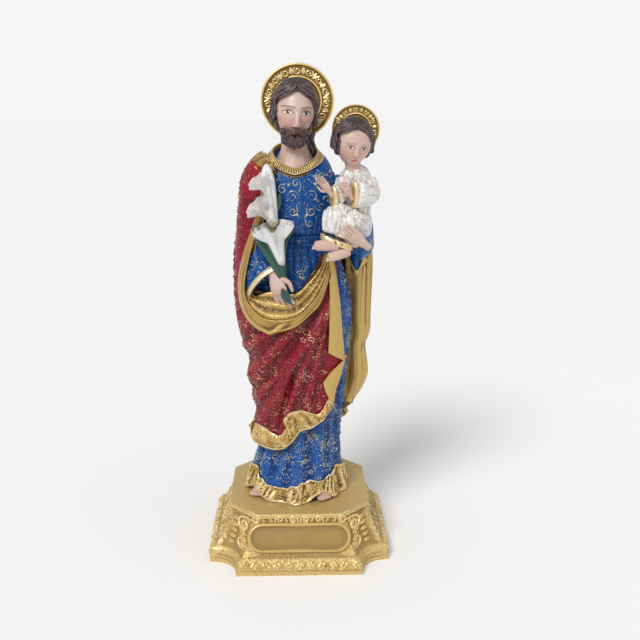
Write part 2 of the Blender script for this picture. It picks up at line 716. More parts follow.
def hem_surface(u, v):
    angle = (u - 0.5) * 2 * math.pi
    front = np.cos(angle)
    top = 14.5 - 6.0 * bump(angle, -0.25, 0.5) + 2 * bump(angle, 0.9, 0.4) + 2 * np.cos(5 * angle)
    arch = 5.5 * bump(angle, -1.02, 0.26) + 6.0 * bump(angle, 0.50, 0.24)
    top = top + 0.6 * np.sin(23 * angle + 2 * np.sin(7 * angle))
    z = 0.1 + arch + (top - arch) * v
    crimp = 0.7 * np.sin(17 * angle + 3 * np.sin(5 * angle) + 2 * v) * np.sin(math.pi * v) ** 0.6
    crimp = crimp + 0.25 * np.cos(29 * angle + 5 * np.sin(9 * angle) - 6 * v) * smooth_step(0, 0.2, v)
    flare = 1.2 + 1.7 * (1 - v) ** 2 * (0.4 + 0.6 * (front > 0)) + crimp + 0.5 * bump(v, 0.95, 0.05)
    x, y = robe_surface(angle, z, flare)
    return x, y, z


dress(cloth("robe_hem", 520, 30, hem_surface, 2.4, closed=True), "figure", "lining_gold", lace_gold)


def make_foot(name, x, y, turn):
    out = Vector((math.sin(turn), -math.cos(turn), 0))
    aside = Vector((math.cos(turn), math.sin(turn), 0))
    heel = Vector((x, y, 3.4)) - out * 8
    tip = Vector((x, y, 2.2)) + out * 4.5
    parts = [limb("instep", [(*heel, 4.6, 4.0), (*heel.lerp(tip, 0.5), 4.8, 3.4), (*tip, 4.4, 2.2)], aside)]
    for toe in range(5):
        start = tip + aside * (toe - 2) * 1.75 - out * 2
        end = start + out * (4.6 - 0.5 * abs(toe - 1))
        start.z, end.z = 2.2, 1.5
        width = 1.15 - 0.1 * abs(toe - 1)
        line = [(*start, width, 1.3), (*start.lerp(end, 0.6), width, 1.2), (*end, width * 0.9, 1.0)]
        parts.append(limb("toe", line, aside, 14, 16))
    return dress(fuse(name, parts, 0.22, 1), "figure", "skin", skin)


make_foot("foot_left", -24.5, -15.0, -0.5)
make_foot("foot_right", 14.5, -21.5, 0.3)


# The mantle.

MANTLE_RINGS = [
    (26, 31.0, 31.0, 36.0, 25.0, 24),
    (40, 30.0, 32.0, 38.0, 25.0, 25),
    (52, 26.6, 32.5, 34.0, 25.0, 25.5),
    (61, 27.2, 33.0, 35.5, 25.0, 25.5),
    (73, 30.2, 33.0, 37.8, 25.0, 25.5),
    (83, 29.4, 33.0, 38.0, 25.5, 25.5),
    (93, 31.2, 33.0, 38.0, 26.0, 25.5),
    (104, 35.6, 32.5, 40.0, 26.0, 25.5),
    (124, 38.4, 32.0, 41.0, 25.5, 25),
    (149, 38.8, 30.0, 42.0, 23.5, 24.0),
    (170, 36.6, 28.0, 41.0, 20.5, 22.0),
    (185, 35.0, 27.0, 39.0, 19.0, 20.5),
    (197, 34.6, 26.5, 38.0, 18.6, 20.0),
]
MANTLE_SQUARE = 0.8
MANTLE_FOLDS = [
    ((-37, 70), (2, 118), 4.0, 3.4),
    ((-33, 55), (10, 112), 3.4, 2.4),
    ((-24, 48), (15, 122), 3.0, 2.6),
    ((-12, 46), (18, 128), 2.4, 1.8),
    ((4, 60), (20, 130), 2.0, 1.2),
    ((-40, 90), (-12, 112), 4.0, 2.4),
    ((-14, 46), (-2, 84), 1.8, -2.2),
    ((-37, 62), (-10, 88), 1.8, -1.8),
    ((-30, 100), (-8, 116), 1.6, 1.2),
    ((-20, 62), (0, 96), 1.2, 1.2),
]


def mantle_pleats(angle, z):
    behind = smooth_step(-0.2, -0.7, np.cos(angle))
    side = smooth_step(0.3, 0.8, np.abs(np.sin(angle))) * smooth_step(-4.2, -4.5, angle)
    fall = smooth_step(205, 150, z)
    waves = np.cos(11 * angle + 0.5 * np.sin(z / 30)) + 0.5 * np.cos(17 * angle + z / 60)
    return fall * (1.5 * behind + 2.0 * side) * waves


def mantle_surface(angle, z, lift=0.0):
    left, near_right, far_right, front, back = through(MANTLE_RINGS, z)
    right = np.where(angle < -math.pi, far_right, near_right)
    x, _ = oval(left, right, front, back, angle, MANTLE_SQUARE)
    swell = lift + mantle_pleats(angle, z)
    swell = swell + ridges(x, z, MANTLE_FOLDS) * smooth_step(-0.1, 0.4, np.cos(angle))
    return oval(left + swell, right + swell, front + swell, back + swell, angle, MANTLE_SQUARE)


def mantle_front(x, z):
    left, near_right, _, front, _ = through(MANTLE_RINGS, z)
    reach = np.where(x < 0, left, near_right)
    ahead = np.clip(1 - np.abs(x / reach) ** (2 / MANTLE_SQUARE), 0.02, 1) ** (MANTLE_SQUARE / 2)
    return -(front + ridges(x, z, MANTLE_FOLDS)) * ahead


WING_EDGES = [(-187, 24.5, 34), (-180, 26, 38), (-165, 29, 45.0), (-148, 30, 47.0),
              (-136, 30, 47.0), (-122, 30, 46.4), (-110, 31, 45.5), (-102, 32, 45.0), (-93, 31, 41.6),
              (-84, 30, 42.8), (-73, 29, 43.6), (-64, 28.5, 39.5), (-56, 28.0, 34.0)]
RIM_OUTER = [(-19, 206), (-20.2, 197), (-22.2, 184), (-26.6, 171), (-33.0, 152.4), (-35.2, 142.5), (-35.7, 133.2),
             (-34, 123.8), (-30, 116.3), (-24, 111.6), (-16.8, 109.9), (-8.2, 111.6), (-0.2, 115), (7.6, 121.1),
             (12.9, 126.5), (16.0, 133.5), (18.6, 141.5), (20.4, 149), (21.5, 155.5)]
RIM_INNER = [(-13.5, 209), (-15, 197), (-18.2, 184), (-22.8, 171), (-28.9, 151.5), (-30.7, 142.9), (-31.2, 133.6),
             (-29.4, 127.6), (-26, 123.4), (-20.8, 119.8), (-12.5, 118.3), (-4.2, 119.2), (2.4, 122.6), (7.8, 128.0),
             (12.1, 133.8), (15.6, 141), (17.8, 147), (19.0, 151.5), (20.0, 155.5)]
POUCH_LOW = RIM_INNER[5:]
POUCH_TOP = [(-27.4, 140), (-27.6, 134), (-25.0, 131), (-21.5, 132.5), (-16, 134), (-10, 133.5), (-1.2, 133.3),
             (6.4, 139.5), (10.4, 143.8), (12.8, 147.0), (15.4, 151.6), (17.2, 155.5)]
FALL_LEFT = [(18.4, 156), (18.8, 139), (19.2, 127.5), (18.8, 108), (18.3, 96.4), (27.9, 89.6)]
FALL_RIGHT = [(21.2, 156), (23.3, 142.1), (25.4, 127.2), (27.0, 108), (27.9, 99), (28.6, 89.2)]
ZIGZAG_INNER = [(27.7, 90.2), (19.9, 84), (15.1, 77.6), (16.4, 72), (18.9, 66.5)]
ZIGZAG_OUTER = [(28.6, 89.0), (25.7, 78.7), (22.9, 71.5), (22.1, 66), (22.1, 64.0)]
HEM_UPPER = [(-31, 46.5), (-27, 47.4), (-22.9, 47.6), (-16.1, 44.6), (-12.4, 43.5), (-8, 49), (-9.1, 54.2),
             (-4.7, 58.9), (2.7, 60.2), (11.6, 57.5), (18.8, 67)]
HEM_LOWER = [(-30.5, 35.6), (-27.5, 35), (-23.6, 34.8), (-17, 34), (-10, 34.8), (-5.5, 38), (-1, 43.6),
             (1, 46.5), (7.8, 48.4), (15.3, 53.6), (22.1, 62.2)]


def hem_height(angle):
    """The height of the mantle's lower edge, round the back and then across the front."""
    x = np.where(angle < 0, 30.5, 32.5) * np.sign(np.sin(angle)) * np.abs(np.sin(angle)) ** MANTLE_SQUARE
    line = np.array(HEM_LOWER)
    ahead = np.interp(x, np.maximum.accumulate(line[:, 0]), line[:, 1]) + 2.5
    behind = np.interp(angle, [-4.71, -4.5, -3.9, -3.14, -2.4, -1.8, -1.57], [58, 52, 38, 34, 32, 34, 38])
    return np.where(angle > -math.pi / 2, ahead, behind)


def mantle_grid(u, v):
    angle = (u * 2 - 1.5) * math.pi
    top = np.interp(angle, [-4.71, -4.2, -3.6, -3.14, -2.6, -2.0, -1.57], [163, 166, 174, 188, 200, 209, 214])
    low = hem_height(angle)
    return angle, low + (top - low) * v


def in_mantle(u, v):
    angle, z = mantle_grid(u, v)
    left, near_right, _, _, _ = through(MANTLE_RINGS, z)
    across = np.sign(np.sin(angle)) * np.abs(np.sin(angle)) ** MANTLE_SQUARE
    x = np.where(angle < 0, left, near_right) * across
    edge_x, edge_z = along(RIM_OUTER[7::-1], np.linspace(0, 1, 60))
    upper = x < np.interp(z, edge_z, edge_x) + 2.2
    swag_x, swag_z = along(RIM_OUTER[6:], np.linspace(0, 1, 80))
    order = np.argsort(swag_x)
    under_swag = (z < np.interp(x, swag_x[order], swag_z[order]) + 3) & (z < 150)
    fall_x, fall_z = along(
        [(23, 158), (23, 139), (22, 117), (21, 97), (26.5, 89.6), (21, 81), (18, 75), (20, 66), (13, 52)],
        np.linspace(0, 1, 80), True)
    inside = x < np.interp(z, fall_z[::-1], fall_x[::-1])
    turned_out = (angle > -1.8) & (z > 205.5)
    return np.where(angle > -math.pi / 2, np.where(z > 128, upper | (under_swag & inside), inside), True) & ~turned_out


def mantle_place(u, v):
    angle, z = mantle_grid(u, v)
    low = np.minimum(z, SHOULDER)
    x, y = mantle_surface(angle, low, 0.0)
    return over_shoulder(angle, x, y, low, np.clip((z - SHOULDER) / 27, 0, 1), 3.2, 1.2)


dress(cloth("mantle", 300, 212, mantle_place, 2.0, in_mantle, lined=True), "figure", "mantle_red",
      mantle_red, lining_gold)


def lining_patch(u, v):
    """The lining that shows where the mantle turns over beside the collar."""
    angle, share = -1.80 + 1.0 * u, 0.62 + 0.38 * v
    x, y = mantle_surface(angle, np.full_like(u, SHOULDER), 0.6)
    x, y, z = over_shoulder(angle, x, y, np.full_like(u, SHOULDER), share, 3.3, 0.4)
    return x, y, z + 0.25 * np.cos(16 * u + 4 * v)


dress(cloth("shoulder_lining", 60, 60, lining_patch, 1.8), "figure", "lining_gold", lining_gold)


def wing_surface(u, v):
    z = 186 - 130 * v
    inner, outer = through(WING_EDGES, -z)
    x = inner + (outer - inner) * u
    y = 4.5 - 3.0 * np.cos(u * 9 + 0.01 * z) * smooth_step(200, 170, z) + 3.5 * u - 2.5 * bump(u, 1, 0.2)
    y = y - 0.8 * np.cos(u * 21 + 0.02 * z) * smooth_step(190, 150, z)
    return x, y, z


dress(cloth("wing", 80, 200, wing_surface, 3.0, lined=True), "figure", "lining_gold", mantle_red, lining_gold)


def rim_lift(u, v):
    low = smooth_step(0.30, 0.48, u) * smooth_step(1.0, 0.86, u)
    fold = 0.5 * bump(v, 0.35 + 0.2 * np.sin(7 * u), 0.13) * low
    return 1.3 + 0.7 * np.sin(math.pi * v) + low * (2.4 + 2.6 * v**0.8) + fold + 0.3 * bump(v, 0.96, 0.05)


def pouch_lift(u, v):
    low = smooth_step(0.0, 0.25, u) * smooth_step(1.0, 0.8, u)
    folds = np.abs(np.sin(math.pi * (2.6 * v + 0.15 * np.sin(4 * u)))) ** 1.5
    ripple = 0.35 * np.sin(26 * u + 5 * v) * np.sin(math.pi * v) * low
    return 1.0 + low * (4.2 * (1 - v) ** 1.3 - 0.6) + 1.3 * folds * (0.35 + 0.65 * low) + ripple


def fall_lift(u, v):
    return 2.2 + 1.0 * np.sin(math.pi * v)


def lace_lift(u, v):
    crimp = 0.6 * np.sin(33 * u + 3 * np.sin(9 * u) + 2 * v) + 0.25 * np.sin(51 * u - 6 * v + 4 * np.sin(13 * u))
    return 1.6 + 1.3 * np.sin(math.pi * v) + crimp * np.sin(math.pi * v) + 0.4 * bump(v, 0.04, 0.05)


for piece in (
    band("rim", RIM_OUTER, RIM_INNER, rim_lift, 420, 26, thickness=3.6),
    band("pouch", POUCH_LOW, POUCH_TOP, pouch_lift, 220, 76, thickness=4.0),
    band("fall", FALL_LEFT, FALL_RIGHT, fall_lift, 120, 12, True, thickness=3.5),
    band("zigzag", ZIGZAG_INNER, ZIGZAG_OUTER, fall_lift, 100, 12, True, thickness=3.5),
):
    dress(piece, "figure", "lining_gold", lining_gold)
dress(band("mantle_hem", HEM_LOWER, HEM_UPPER, lace_lift, 320, 36, thickness=4.0), "figure", "lining_gold", lace_gold)


# Arms and hands.


def hand(name, wrist, reach, back, size, curl, spread=0.9, thumb=1.0, voxel=0.28):
    reach = Vector(reach).normalized()
    back = Vector(back)
    back = (back - reach * back.dot(reach)).normalized()
    aside = reach.cross(back)
    wrist = Vector(wrist)
    palm_end = wrist + reach * size * 0.46
    parts = [
        limb("palm", [
            (*(wrist - reach * size * 0.22), size * 0.115, size * 0.095),
            (*wrist, size * 0.12, size * 0.09),
            (*(wrist + reach * size * 0.22), size * 0.19, size * 0.085),
            (*palm_end, size * 0.2, size * 0.07),
            (*(palm_end + reach * size * 0.05), size * 0.17, size * 0.05),
        ], aside)
    ]
    for finger, length in enumerate((0.44, 0.5, 0.47, 0.38)):
        offset = (finger - 1.5) * size * 0.098
        root = palm_end + aside * offset - reach * size * 0.05
        fan = (reach + aside * (finger - 1.5) * 0.07 * spread).normalized()
        line, point, heading = [], root, fan
        for joint, part in enumerate((0.1, 0.34, 0.3, 0.26)):
            heading = (heading - back * curl * (0.5 if joint else 0.2)).normalized()
            width = size * (0.058 - 0.006 * joint)
            line.append((*point, width, width))
            point = point + heading * size * length * part
        line.append((*point, size * 0.036, size * 0.036))
        parts.append(limb("finger", line, aside, 16, 26))
    root = wrist + reach * size * 0.12 + aside * thumb * size * 0.15
    out = (reach * 0.75 + aside * thumb * 0.55 - back * 0.35).normalized()
    middle = root + out * size * 0.22
    tip = middle + (reach * 0.95 - aside * thumb * 0.1 - back * 0.25).normalized() * size * 0.26
    line = [(*root, size * 0.075, size * 0.07), (*middle, size * 0.06, size * 0.055),
            (*tip, size * 0.042, size * 0.038)]
    parts.append(limb("thumb", line, aside, 16, 24))
    return dress(fuse(name, parts, voxel, 1), "figure", "skin", skin)


def bell(angle, way):
    return (0.07 * np.cos(5 * angle + 2) + 0.02 * np.cos(13 * angle + 5 * way)) * smooth_step(0.2, 0.9, way)


CUFF_PLACE, CUFF_LONG, CUFF_WIDE = (-18.8, -22.5, 138.4), 12.8, 6.6
CUFF_RUN = np.array((0.45, -0.65, -0.61))
CUFF_ALONG = unit(np.array((-0.49, 0.05, -0.87)) - CUFF_RUN * np.dot(CUFF_RUN, (-0.49, 0.05, -0.87)))
CUFF_ASIDE = np.cross(CUFF_RUN, CUFF_ALONG)
sleeve_line = [(-18, 0, 197, 7.5, 9), (-24, -1, 181, 8.5, 9.5), (-25.5, -4, 162, 9.8, 9), (-23.5, -14, 146, 11.6, 8),
               (*CUFF_PLACE, CUFF_LONG, CUFF_WIDE)]
sleeve_sides = [(-1, 0, 0.2), (-1, 0, 0), (-0.9, 0, -0.4), (-0.7, 0.1, -0.7), CUFF_ALONG]
dress(limb("sleeve_right", sleeve_line, sleeve_sides, 130, 160, bell, dish=7), "figure", "robe_blue", robe_blue)


def cuff_ring(u, v):
    angle = u * 2 * math.pi
    swell = 0.1 + 0.3 * np.sin(math.pi * v) + 0.12 * np.cos(60 * angle) * np.sin(math.pi * v)
    long, wide = (CUFF_LONG + swell) * np.sin(angle), (CUFF_WIDE + swell) * np.cos(angle)
    return [place + long * a + wide * b + (2.6 * v - 2.0) * c
            for place, a, b, c in zip(CUFF_PLACE, CUFF_ALONG, CUFF_ASIDE, CUFF_RUN)]


cuff = cloth("cuff_right", 200, 10, cuff_ring, 1.4, closed=True)
turn_outwards(cuff)
dress(cuff, "figure", "lining_gold", lace_gold)
hand("hand_right", (-14.2, -26.5, 144.5), (0.34, -0.22, -0.90), (-0.45, -0.85, -0.1), 25, 0.35, thumb=-1.0)
dress(limb("sleeve_left", [(19, 1, 198, 8, 9), (29, 2, 186, 9, 9.5), (37, 3, 171, 9.0, 9), (37.5, -6, 161, 9.0, 8.5),
                           (37.5, -19, 159.5, 6.6, 7.0), (38.8, -30, 162.3, 4.6, 4.6)], (1, 0, 0.3), 110, 130, bell),
      "figure", "robe_blue", robe_blue)


def drop_surface(u, v):
    x = 31.0 + 9.6 * u
    bottom = 157 - 13 * np.sin(math.pi * np.clip(u * 0.93 + 0.07, 0, 1)) ** 0.8
    z = bottom + (172 - bottom) * v
    y = -13.5 - 5 * np.sin(math.pi * u) + 4 * (1 - v) + 1.2 * np.cos(9 * u)
    return x, y, z


def drop_edge(u, v):
    x, y, z = drop_surface(u, np.zeros_like(u))
    return x, y - 1.5 - 0.4 * np.sin(math.pi * v), z - 1.4 + 2.6 * v


dress(cloth("sleeve_left_drop", 70, 60, drop_surface, 5), "figure", "robe_blue", robe_blue)
dress(cloth("sleeve_left_edge", 90, 10, drop_edge, 4.2), "figure", "lining_gold", lining_gold)
hand("hand_left", (38.6, -33.5, 163.3), (-0.74, -0.28, 0.58), (-0.15, -1, -0.2), 20.5, 0.14, 0.3, -1.0)


# Heads.


class Head:
    """Turns a head's own places, in head heights from its middle, into the figure's."""

    def __init__(self, centre, height, tilt, turn, nod):
        self.centre, self.height = np.array(centre, float), height
        turned = Matrix.Rotation(tilt, 3, "Y") @ Matrix.Rotation(turn, 3, "Z") @ Matrix.Rotation(nod, 3, "X")
        self.turned = np.array(turned)

    def __call__(self, x, y, z):
        points = np.array(np.broadcast_arrays(x, y, z)) * self.height
        return self.turned @ points + self.centre[:, None]

    def point(self, x, y, z):
        return tuple(float(value[0]) for value in self(np.array([x]), np.array([y]), np.array([z])))

    def own(self, points):
        """A head's own places of these places, given in metres."""
        away = points / MM - self.centre - np.array([0, 0, SOLE / MM])
        return away @ self.turned / self.height


def ball_of(angle, share):
    tall = math.pi * share
    return np.sin(angle) * np.sin(tall), -np.cos(angle) * np.sin(tall), -np.cos(tall)


def face_relief(x, z, child):
    eye, nose, mouth, chin = (-0.06, -0.235, -0.33, -0.45) if child else (0.0, -0.215, -0.325, -0.45)
    wide, aside = 0.15, np.abs(x)
    small = 0.7 if child else 1.0
    ridge = smooth_step(eye + 0.07, nose + 0.03, z) * smooth_step(nose - 0.035, nose + 0.01, z)
    out = small * 0.115 * ridge * bump(x, 0, 0.036 + 0.02 * smooth_step(eye, nose, z))
    out += small * 0.03 * bump(aside, 0.045, 0.022) * bump(z, nose + 0.012, 0.024)
    out += 0.022 * small * bump(aside, 0.13, 0.09) * bump(z, eye + 0.085, 0.035)
    out -= 0.046 * bump(aside, wide, 0.075) * bump(z, eye + 0.01, 0.055)
    out += 0.030 * bump(aside, wide, 0.048) * bump(z, eye, 0.026)
    bend = (aside - wide) / 0.075
    lids = smooth_step(1.25, 0.95, np.abs(bend))
    out += 0.011 * bump(z, eye + 0.040 - 0.030 * bend**2, 0.007) * lids
    out += 0.007 * bump(z, eye - 0.030 + 0.022 * bend**2, 0.007) * lids
    out += 0.018 * bump(aside, 0.20, 0.08) * bump(z, nose + 0.06, 0.09)
    out += 0.024 * bump(x, 0, 0.075) * bump(z, mouth + 0.012, 0.016)
    out += 0.026 * bump(x, 0, 0.060) * bump(z, mouth - 0.018, 0.016)
    out -= 0.012 * bump(x, 0, 0.070) * bump(z, mouth, 0.006)
    out -= 0.006 * bump(x, 0, 0.010) * bump(z, mouth + 0.05, 0.02)
    out += 0.026 * bump(x, 0, 0.075) * bump(z, chin, 0.05)
    if child:
        out += 0.018 * bump(aside, 0.19, 0.09) * bump(z, mouth + 0.04, 0.08)
    return out


def make_face(name, head, child, finish):
    width, depth = (0.40, 0.42) if child else (0.335, 0.40)

    def shape(angle, share):
        right, back, high = ball_of(angle, share)
        jaw = 1 - (0.24 if child else 0.30) * smooth_step(-0.05, -0.95, high)
        x, y, z = right * width * jaw, back * depth, high * 0.5
        y = np.where(back < 0, y * (0.93 + 0.07 * smooth_step(0.9, 0.2, high)), y)
        y = y - smooth_step(0.1, -0.5, back) * face_relief(x, z, child)
        return head(x, y, z)

    piece = ball(name, 220, 200, shape)
    own = head.own(points_of(piece.data))
    layer = piece.data.uv_layers.new(name="head")
    corners = np.empty(len(piece.data.loops), np.int32)
    piece.data.loops.foreach_get("vertex_index", corners)
    layer.data.foreach_set("uv", (own[corners][:, [0, 2]] + 0.5).astype(np.float32).ravel())
    return dress(piece, "figure", "skin", finish)


def make_hair(name, head, child, locks, halo_back):
    wide, deep, tall = (0.430, 0.44, 0.52) if child else (0.345, 0.425, 0.535)
    open_wide, open_tall, part_x = (0.33, 0.30, -0.05) if child else (0.285, 0.33, -0.03)

    def cap(angle, share):
        right, back, high = ball_of(angle, share)
        across = (right * wide - part_x * smooth_step(0, 0.3, high)) / open_wide
        window = smooth_step(1.12, 0.92, np.hypot(across, np.maximum(high * tall, 0) / open_tall))
        window = window * smooth_step(-0.1, -0.35, back)
        strands = 0.014 * np.cos(34 * angle + 6 * np.sin(5 * high)) * np.sin(math.pi * share)
        size = 1 - 0.20 * window + strands
        size = size - 0.25 * smooth_step(-0.55, -0.8, high)
        x, y, z = head(right * wide * size, back * deep * size + 0.01, high * tall * size + 0.01)
        return x, np.minimum(y, halo_back - 0.6), z

    def strand(angle, way):
        return 0.13 * np.cos(4 * angle + 11 * way) + 0.07 * np.cos(9 * angle - 17 * way)

    parts = [ball("cap", 180, 140, cap)]
    reach = 0.64 if child else 0.665
    for side in (-1, 1):
        for lock in range(locks):
            part = lock / (locks - 1)
            first = 0.205 - 0.12 * part
            line = []
            for step in range(15):
                share = step / 14
                tall_angle = math.pi * (first + (reach + 0.05 * part - first) * share)
                swing = 0.03 + 0.39 * smooth_step(0, 0.50, share) - 0.05 * smooth_step(0.72, 1, share)
                turn = math.pi * (swing + (0.95 - swing) * part**0.9)
                wave = 0.030 * math.sin(11 * share + 1.9 * lock + 2.0 * side) * smooth_step(0.15, 0.5, share)
                curl = (0.10 if child else 0.20) * smooth_step(0.62, 0.95, share) * (1 - 0.5 * part)
                x = side * math.sin(turn) * math.sin(tall_angle) * wide * (1 + curl)
                y = -math.cos(turn) * math.sin(tall_angle) * deep * (1 + 0.3 * curl)
                z = math.cos(tall_angle) * tall + 0.05 * smooth_step(0.88, 1, share)
                size = head.height * (0.046 + 0.016 * math.sin(math.pi * share + lock)) * (9 / locks) ** 0.5
                away = 1 + wave + 0.03 * (lock % 2)
                offset = part_x * (1 - share) * (1 - part)
                px, py, pz = head.point(x * away + offset, y * away, z + 0.01 + 0.4 * wave)
                line.append((px, min(py, halo_back - 1.25 * size), pz, size, size * 0.85))
            parts.append(limb("lock", line, (0.1, 1, 0.2), 22, 60, strand))
    return dress(join_parts(name, parts), "figure", "hair", hair_brown)


def join_parts(name, parts):
    only(*parts)
    if len(parts) > 1:
        bpy.ops.object.join()
    piece = bpy.context.view_layer.objects.active
    piece.name = name
    return piece


saint_head = Head((-1.2, -2.5, 237.0), 35.5, math.radians(4.5), math.radians(8), math.radians(3))
make_face("saint_head", saint_head, False, saint_face)
make_hair("saint_hair", saint_head, False, 10, 11.4)


def neck_shape(angle, share):
    z = 194 + 34 * share
    left, right, front, back = through([
        (194, 15, 15, 12.5, 9), (200, 14.6, 14.8, 14.0, 10), (205, 13.4, 13.8, 12.6, 10.5),
        (210, 10.6, 11.2, 10.6, 10), (215, 8.4, 8.6, 9.4, 9), (228, 7.6, 7.6, 8.8, 8.5)], z)
    close = np.sqrt(np.clip(1 - ((np.abs(2 * share - 1) - 0.9) / 0.1).clip(0) ** 2, 0, 1))
    x, y = oval(left * close, right * close, front * close, back * close, angle)
    cord = 0.5 * bump(np.abs(angle), 0.45, 0.12) * smooth_step(198, 208, z)
    return x - 1.2, y - cord, z


dress(ball("neck", 100, 80, neck_shape), "figure", "skin", skin)


def make_beard(head):
    def mass(angle, share):
        right, back, high = ball_of(angle, share)
        curls = 0.010 * np.cos(13 * angle + 5 * high)
        x = right * (0.215 + curls) * (1 - 0.22 * smooth_step(0.1, -0.9, high))
        y = back * (0.19 + curls) - 0.205
        z = high * 0.150 - 0.410
        free = smooth_step(0.25, -0.05, np.abs(right) - 0.35) * smooth_step(0.0, 0.5, high)
        y = y + 0.11 * free * smooth_step(0.0, -0.6, back)
        return head(x, y, z)

    def strand(angle, way):
        return 0.16 * np.cos(4 * angle + 9 * way) + 0.06 * np.cos(9 * angle - 12 * way)

    parts = [ball("beard", 140, 100, mass)]
    rows = (13, -0.27, 0.20, 0.0), (12, -0.36, 0.16, 0.010), (9, -0.43, 0.13, 0.0)
    for row, (count, top, drop, out) in enumerate(rows):
        for index in range(count):
            place = (index + 0.5 * (row % 2)) / (count - 1) * 2 - 1
            if abs(place) > 1:
                continue
            turn = place * (1.45 - 0.2 * row)
            free = max(0.0, 1 - abs(place) / 0.42)
            high = top - (0.10 * free**0.5 if row == 0 else 0.03 * free)
            line = []
            for step in range(7):
                share = step / 6
                sway = 0.016 * math.sin(6 * share + 2.2 * index + row)
                near = 1 - (0.30 + 0.1 * row) * share**1.4
                x = math.sin(turn) * (0.232 + out) * near + sway
                y = -0.185 - math.cos(turn) * (0.205 + out) * (1 - 0.28 * share**2)
                z = high - drop * share * (0.75 + 0.25 * math.cos(turn))
                size = head.height * (0.030 - 0.014 * share**2)
                line.append((*head.point(x, y, z), size, size * 0.8))
            parts.append(limb("beard_lock", line, (1, 0, 0), 18, 26, strand))
    for side in (-1, 1):
        for rank in (0, 1):
            low = 0.016 * rank
            line = [(*head.point(0.008 * side, -0.447, -0.268 - low), 0.85, 0.9),
                    (*head.point(0.06 * side, -0.437, -0.276 - low), 0.95, 0.95),
                    (*head.point((0.115 - 0.012 * rank) * side, -0.402, -0.318 - low), 0.95, 0.9),
                    (*head.point((0.145 - 0.02 * rank) * side, -0.372, -0.385 - low), 0.6, 0.6)]
            parts.append(limb("moustache", line, (0, 0, 1), 20, 40, strand))
    line = [(*head.point(0.29, 0.02, -0.30), 3.0, 2.6), (*head.point(0.30, 0.0, -0.46), 2.6, 2.2),
            (*head.point(0.34, -0.02, -0.58), 2.2, 1.9), (*head.point(0.36, -0.03, -0.70), 1.2, 1.0)]
    parts.append(limb("neck_lock", line, (1, 0, 0), 24, 60, strand))
    return dress(join_parts("beard", parts), "figure", "hair", hair_brown)


make_beard(saint_head)


# The child.

small_head = Head((32.2, -21.0, 219.9), 26.4, math.radians(7), math.radians(12), math.radians(6))
make_face("child_head", small_head, True, child_face)
make_hair("child_hair", small_head, True, 9, 0.0)
dress(limb("child_neck", [(33, -19, 198, 5.5, 5.5), (32.4, -19.5, 206, 4.6, 4.6), (31.8, -20, 213, 4.3, 4.3)],
           (1, 0, 0)), "figure", "skin", skin)


def crumple(angle, way):
    return 0.045 * np.cos(7 * angle + 6 * way) + 0.03 * np.cos(13 * angle - 9 * way)


tunic_parts = [limb("body", [(32.5, -16, 163, 9.5, 8), (33, -16.5, 172, 10.5, 9), (33.5, -17, 183, 9.4, 8.6),
                             (34, -17.5, 194, 9.6, 8.2), (33.8, -18, 201, 9.0, 7), (33, -18.5, 208, 5.5, 5.2)],
                    (1, 0, 0), 90, 90, crumple)]
for start, knee, end in (((34, -18, 175), (22.5, -30, 180), (20.5, -31.5, 169)),
                         ((37, -18, 172), (30.0, -30, 176.5), (27, -31.0, 166))):
    tunic_parts.append(limb("lap", [(*start, 8.0, 7.0), (*Vector(start).lerp(Vector(knee), 0.6), 7.4, 6.8),
                                    (*knee, 7.0, 6.0), (*end, 7.0, 5.2)], (0.9, 0.3, 0.3), 60, 60, crumple))
for side, line in (
    ((0.95, 0, 0.1), [(28.0, -20, 199, 5.0, 5.0), (24.0, -25, 191, 5.0, 5.2), (21.8, -28.5, 190, 4.4, 6.4)]),
    ((0.2, -0.9, 0), [(40, -18, 199.5, 5.2, 5.4), (43.0, -20, 191, 5.0, 5.4), (38.5, -26.0, 190.5, 5.6, 6.2),
                      (33.4, -28.5, 191.5, 5.0, 8.2)]),
):
    tunic_parts.append(limb("arm", line, side, 60, 60, crumple))
dress(fuse("tunic", tunic_parts, 0.4, 2), "figure", "pearl_white", tunic_white)


def tunic_hem(u, v):
    angle = (u - 0.5) * 2 * math.pi
    x = 22.6 + 9.4 * np.sin(angle)
    crimp = 0.3 * np.sin(9 * angle + 2 * np.sin(5 * angle)) * np.sin(math.pi * v)
    swell = 5.6 + 0.6 * np.sin(math.pi * v) + crimp
    return x, -31.0 - swell * np.cos(angle), 164.2 - 0.36 * (x - 22.6) + 3.2 * v - 1.2


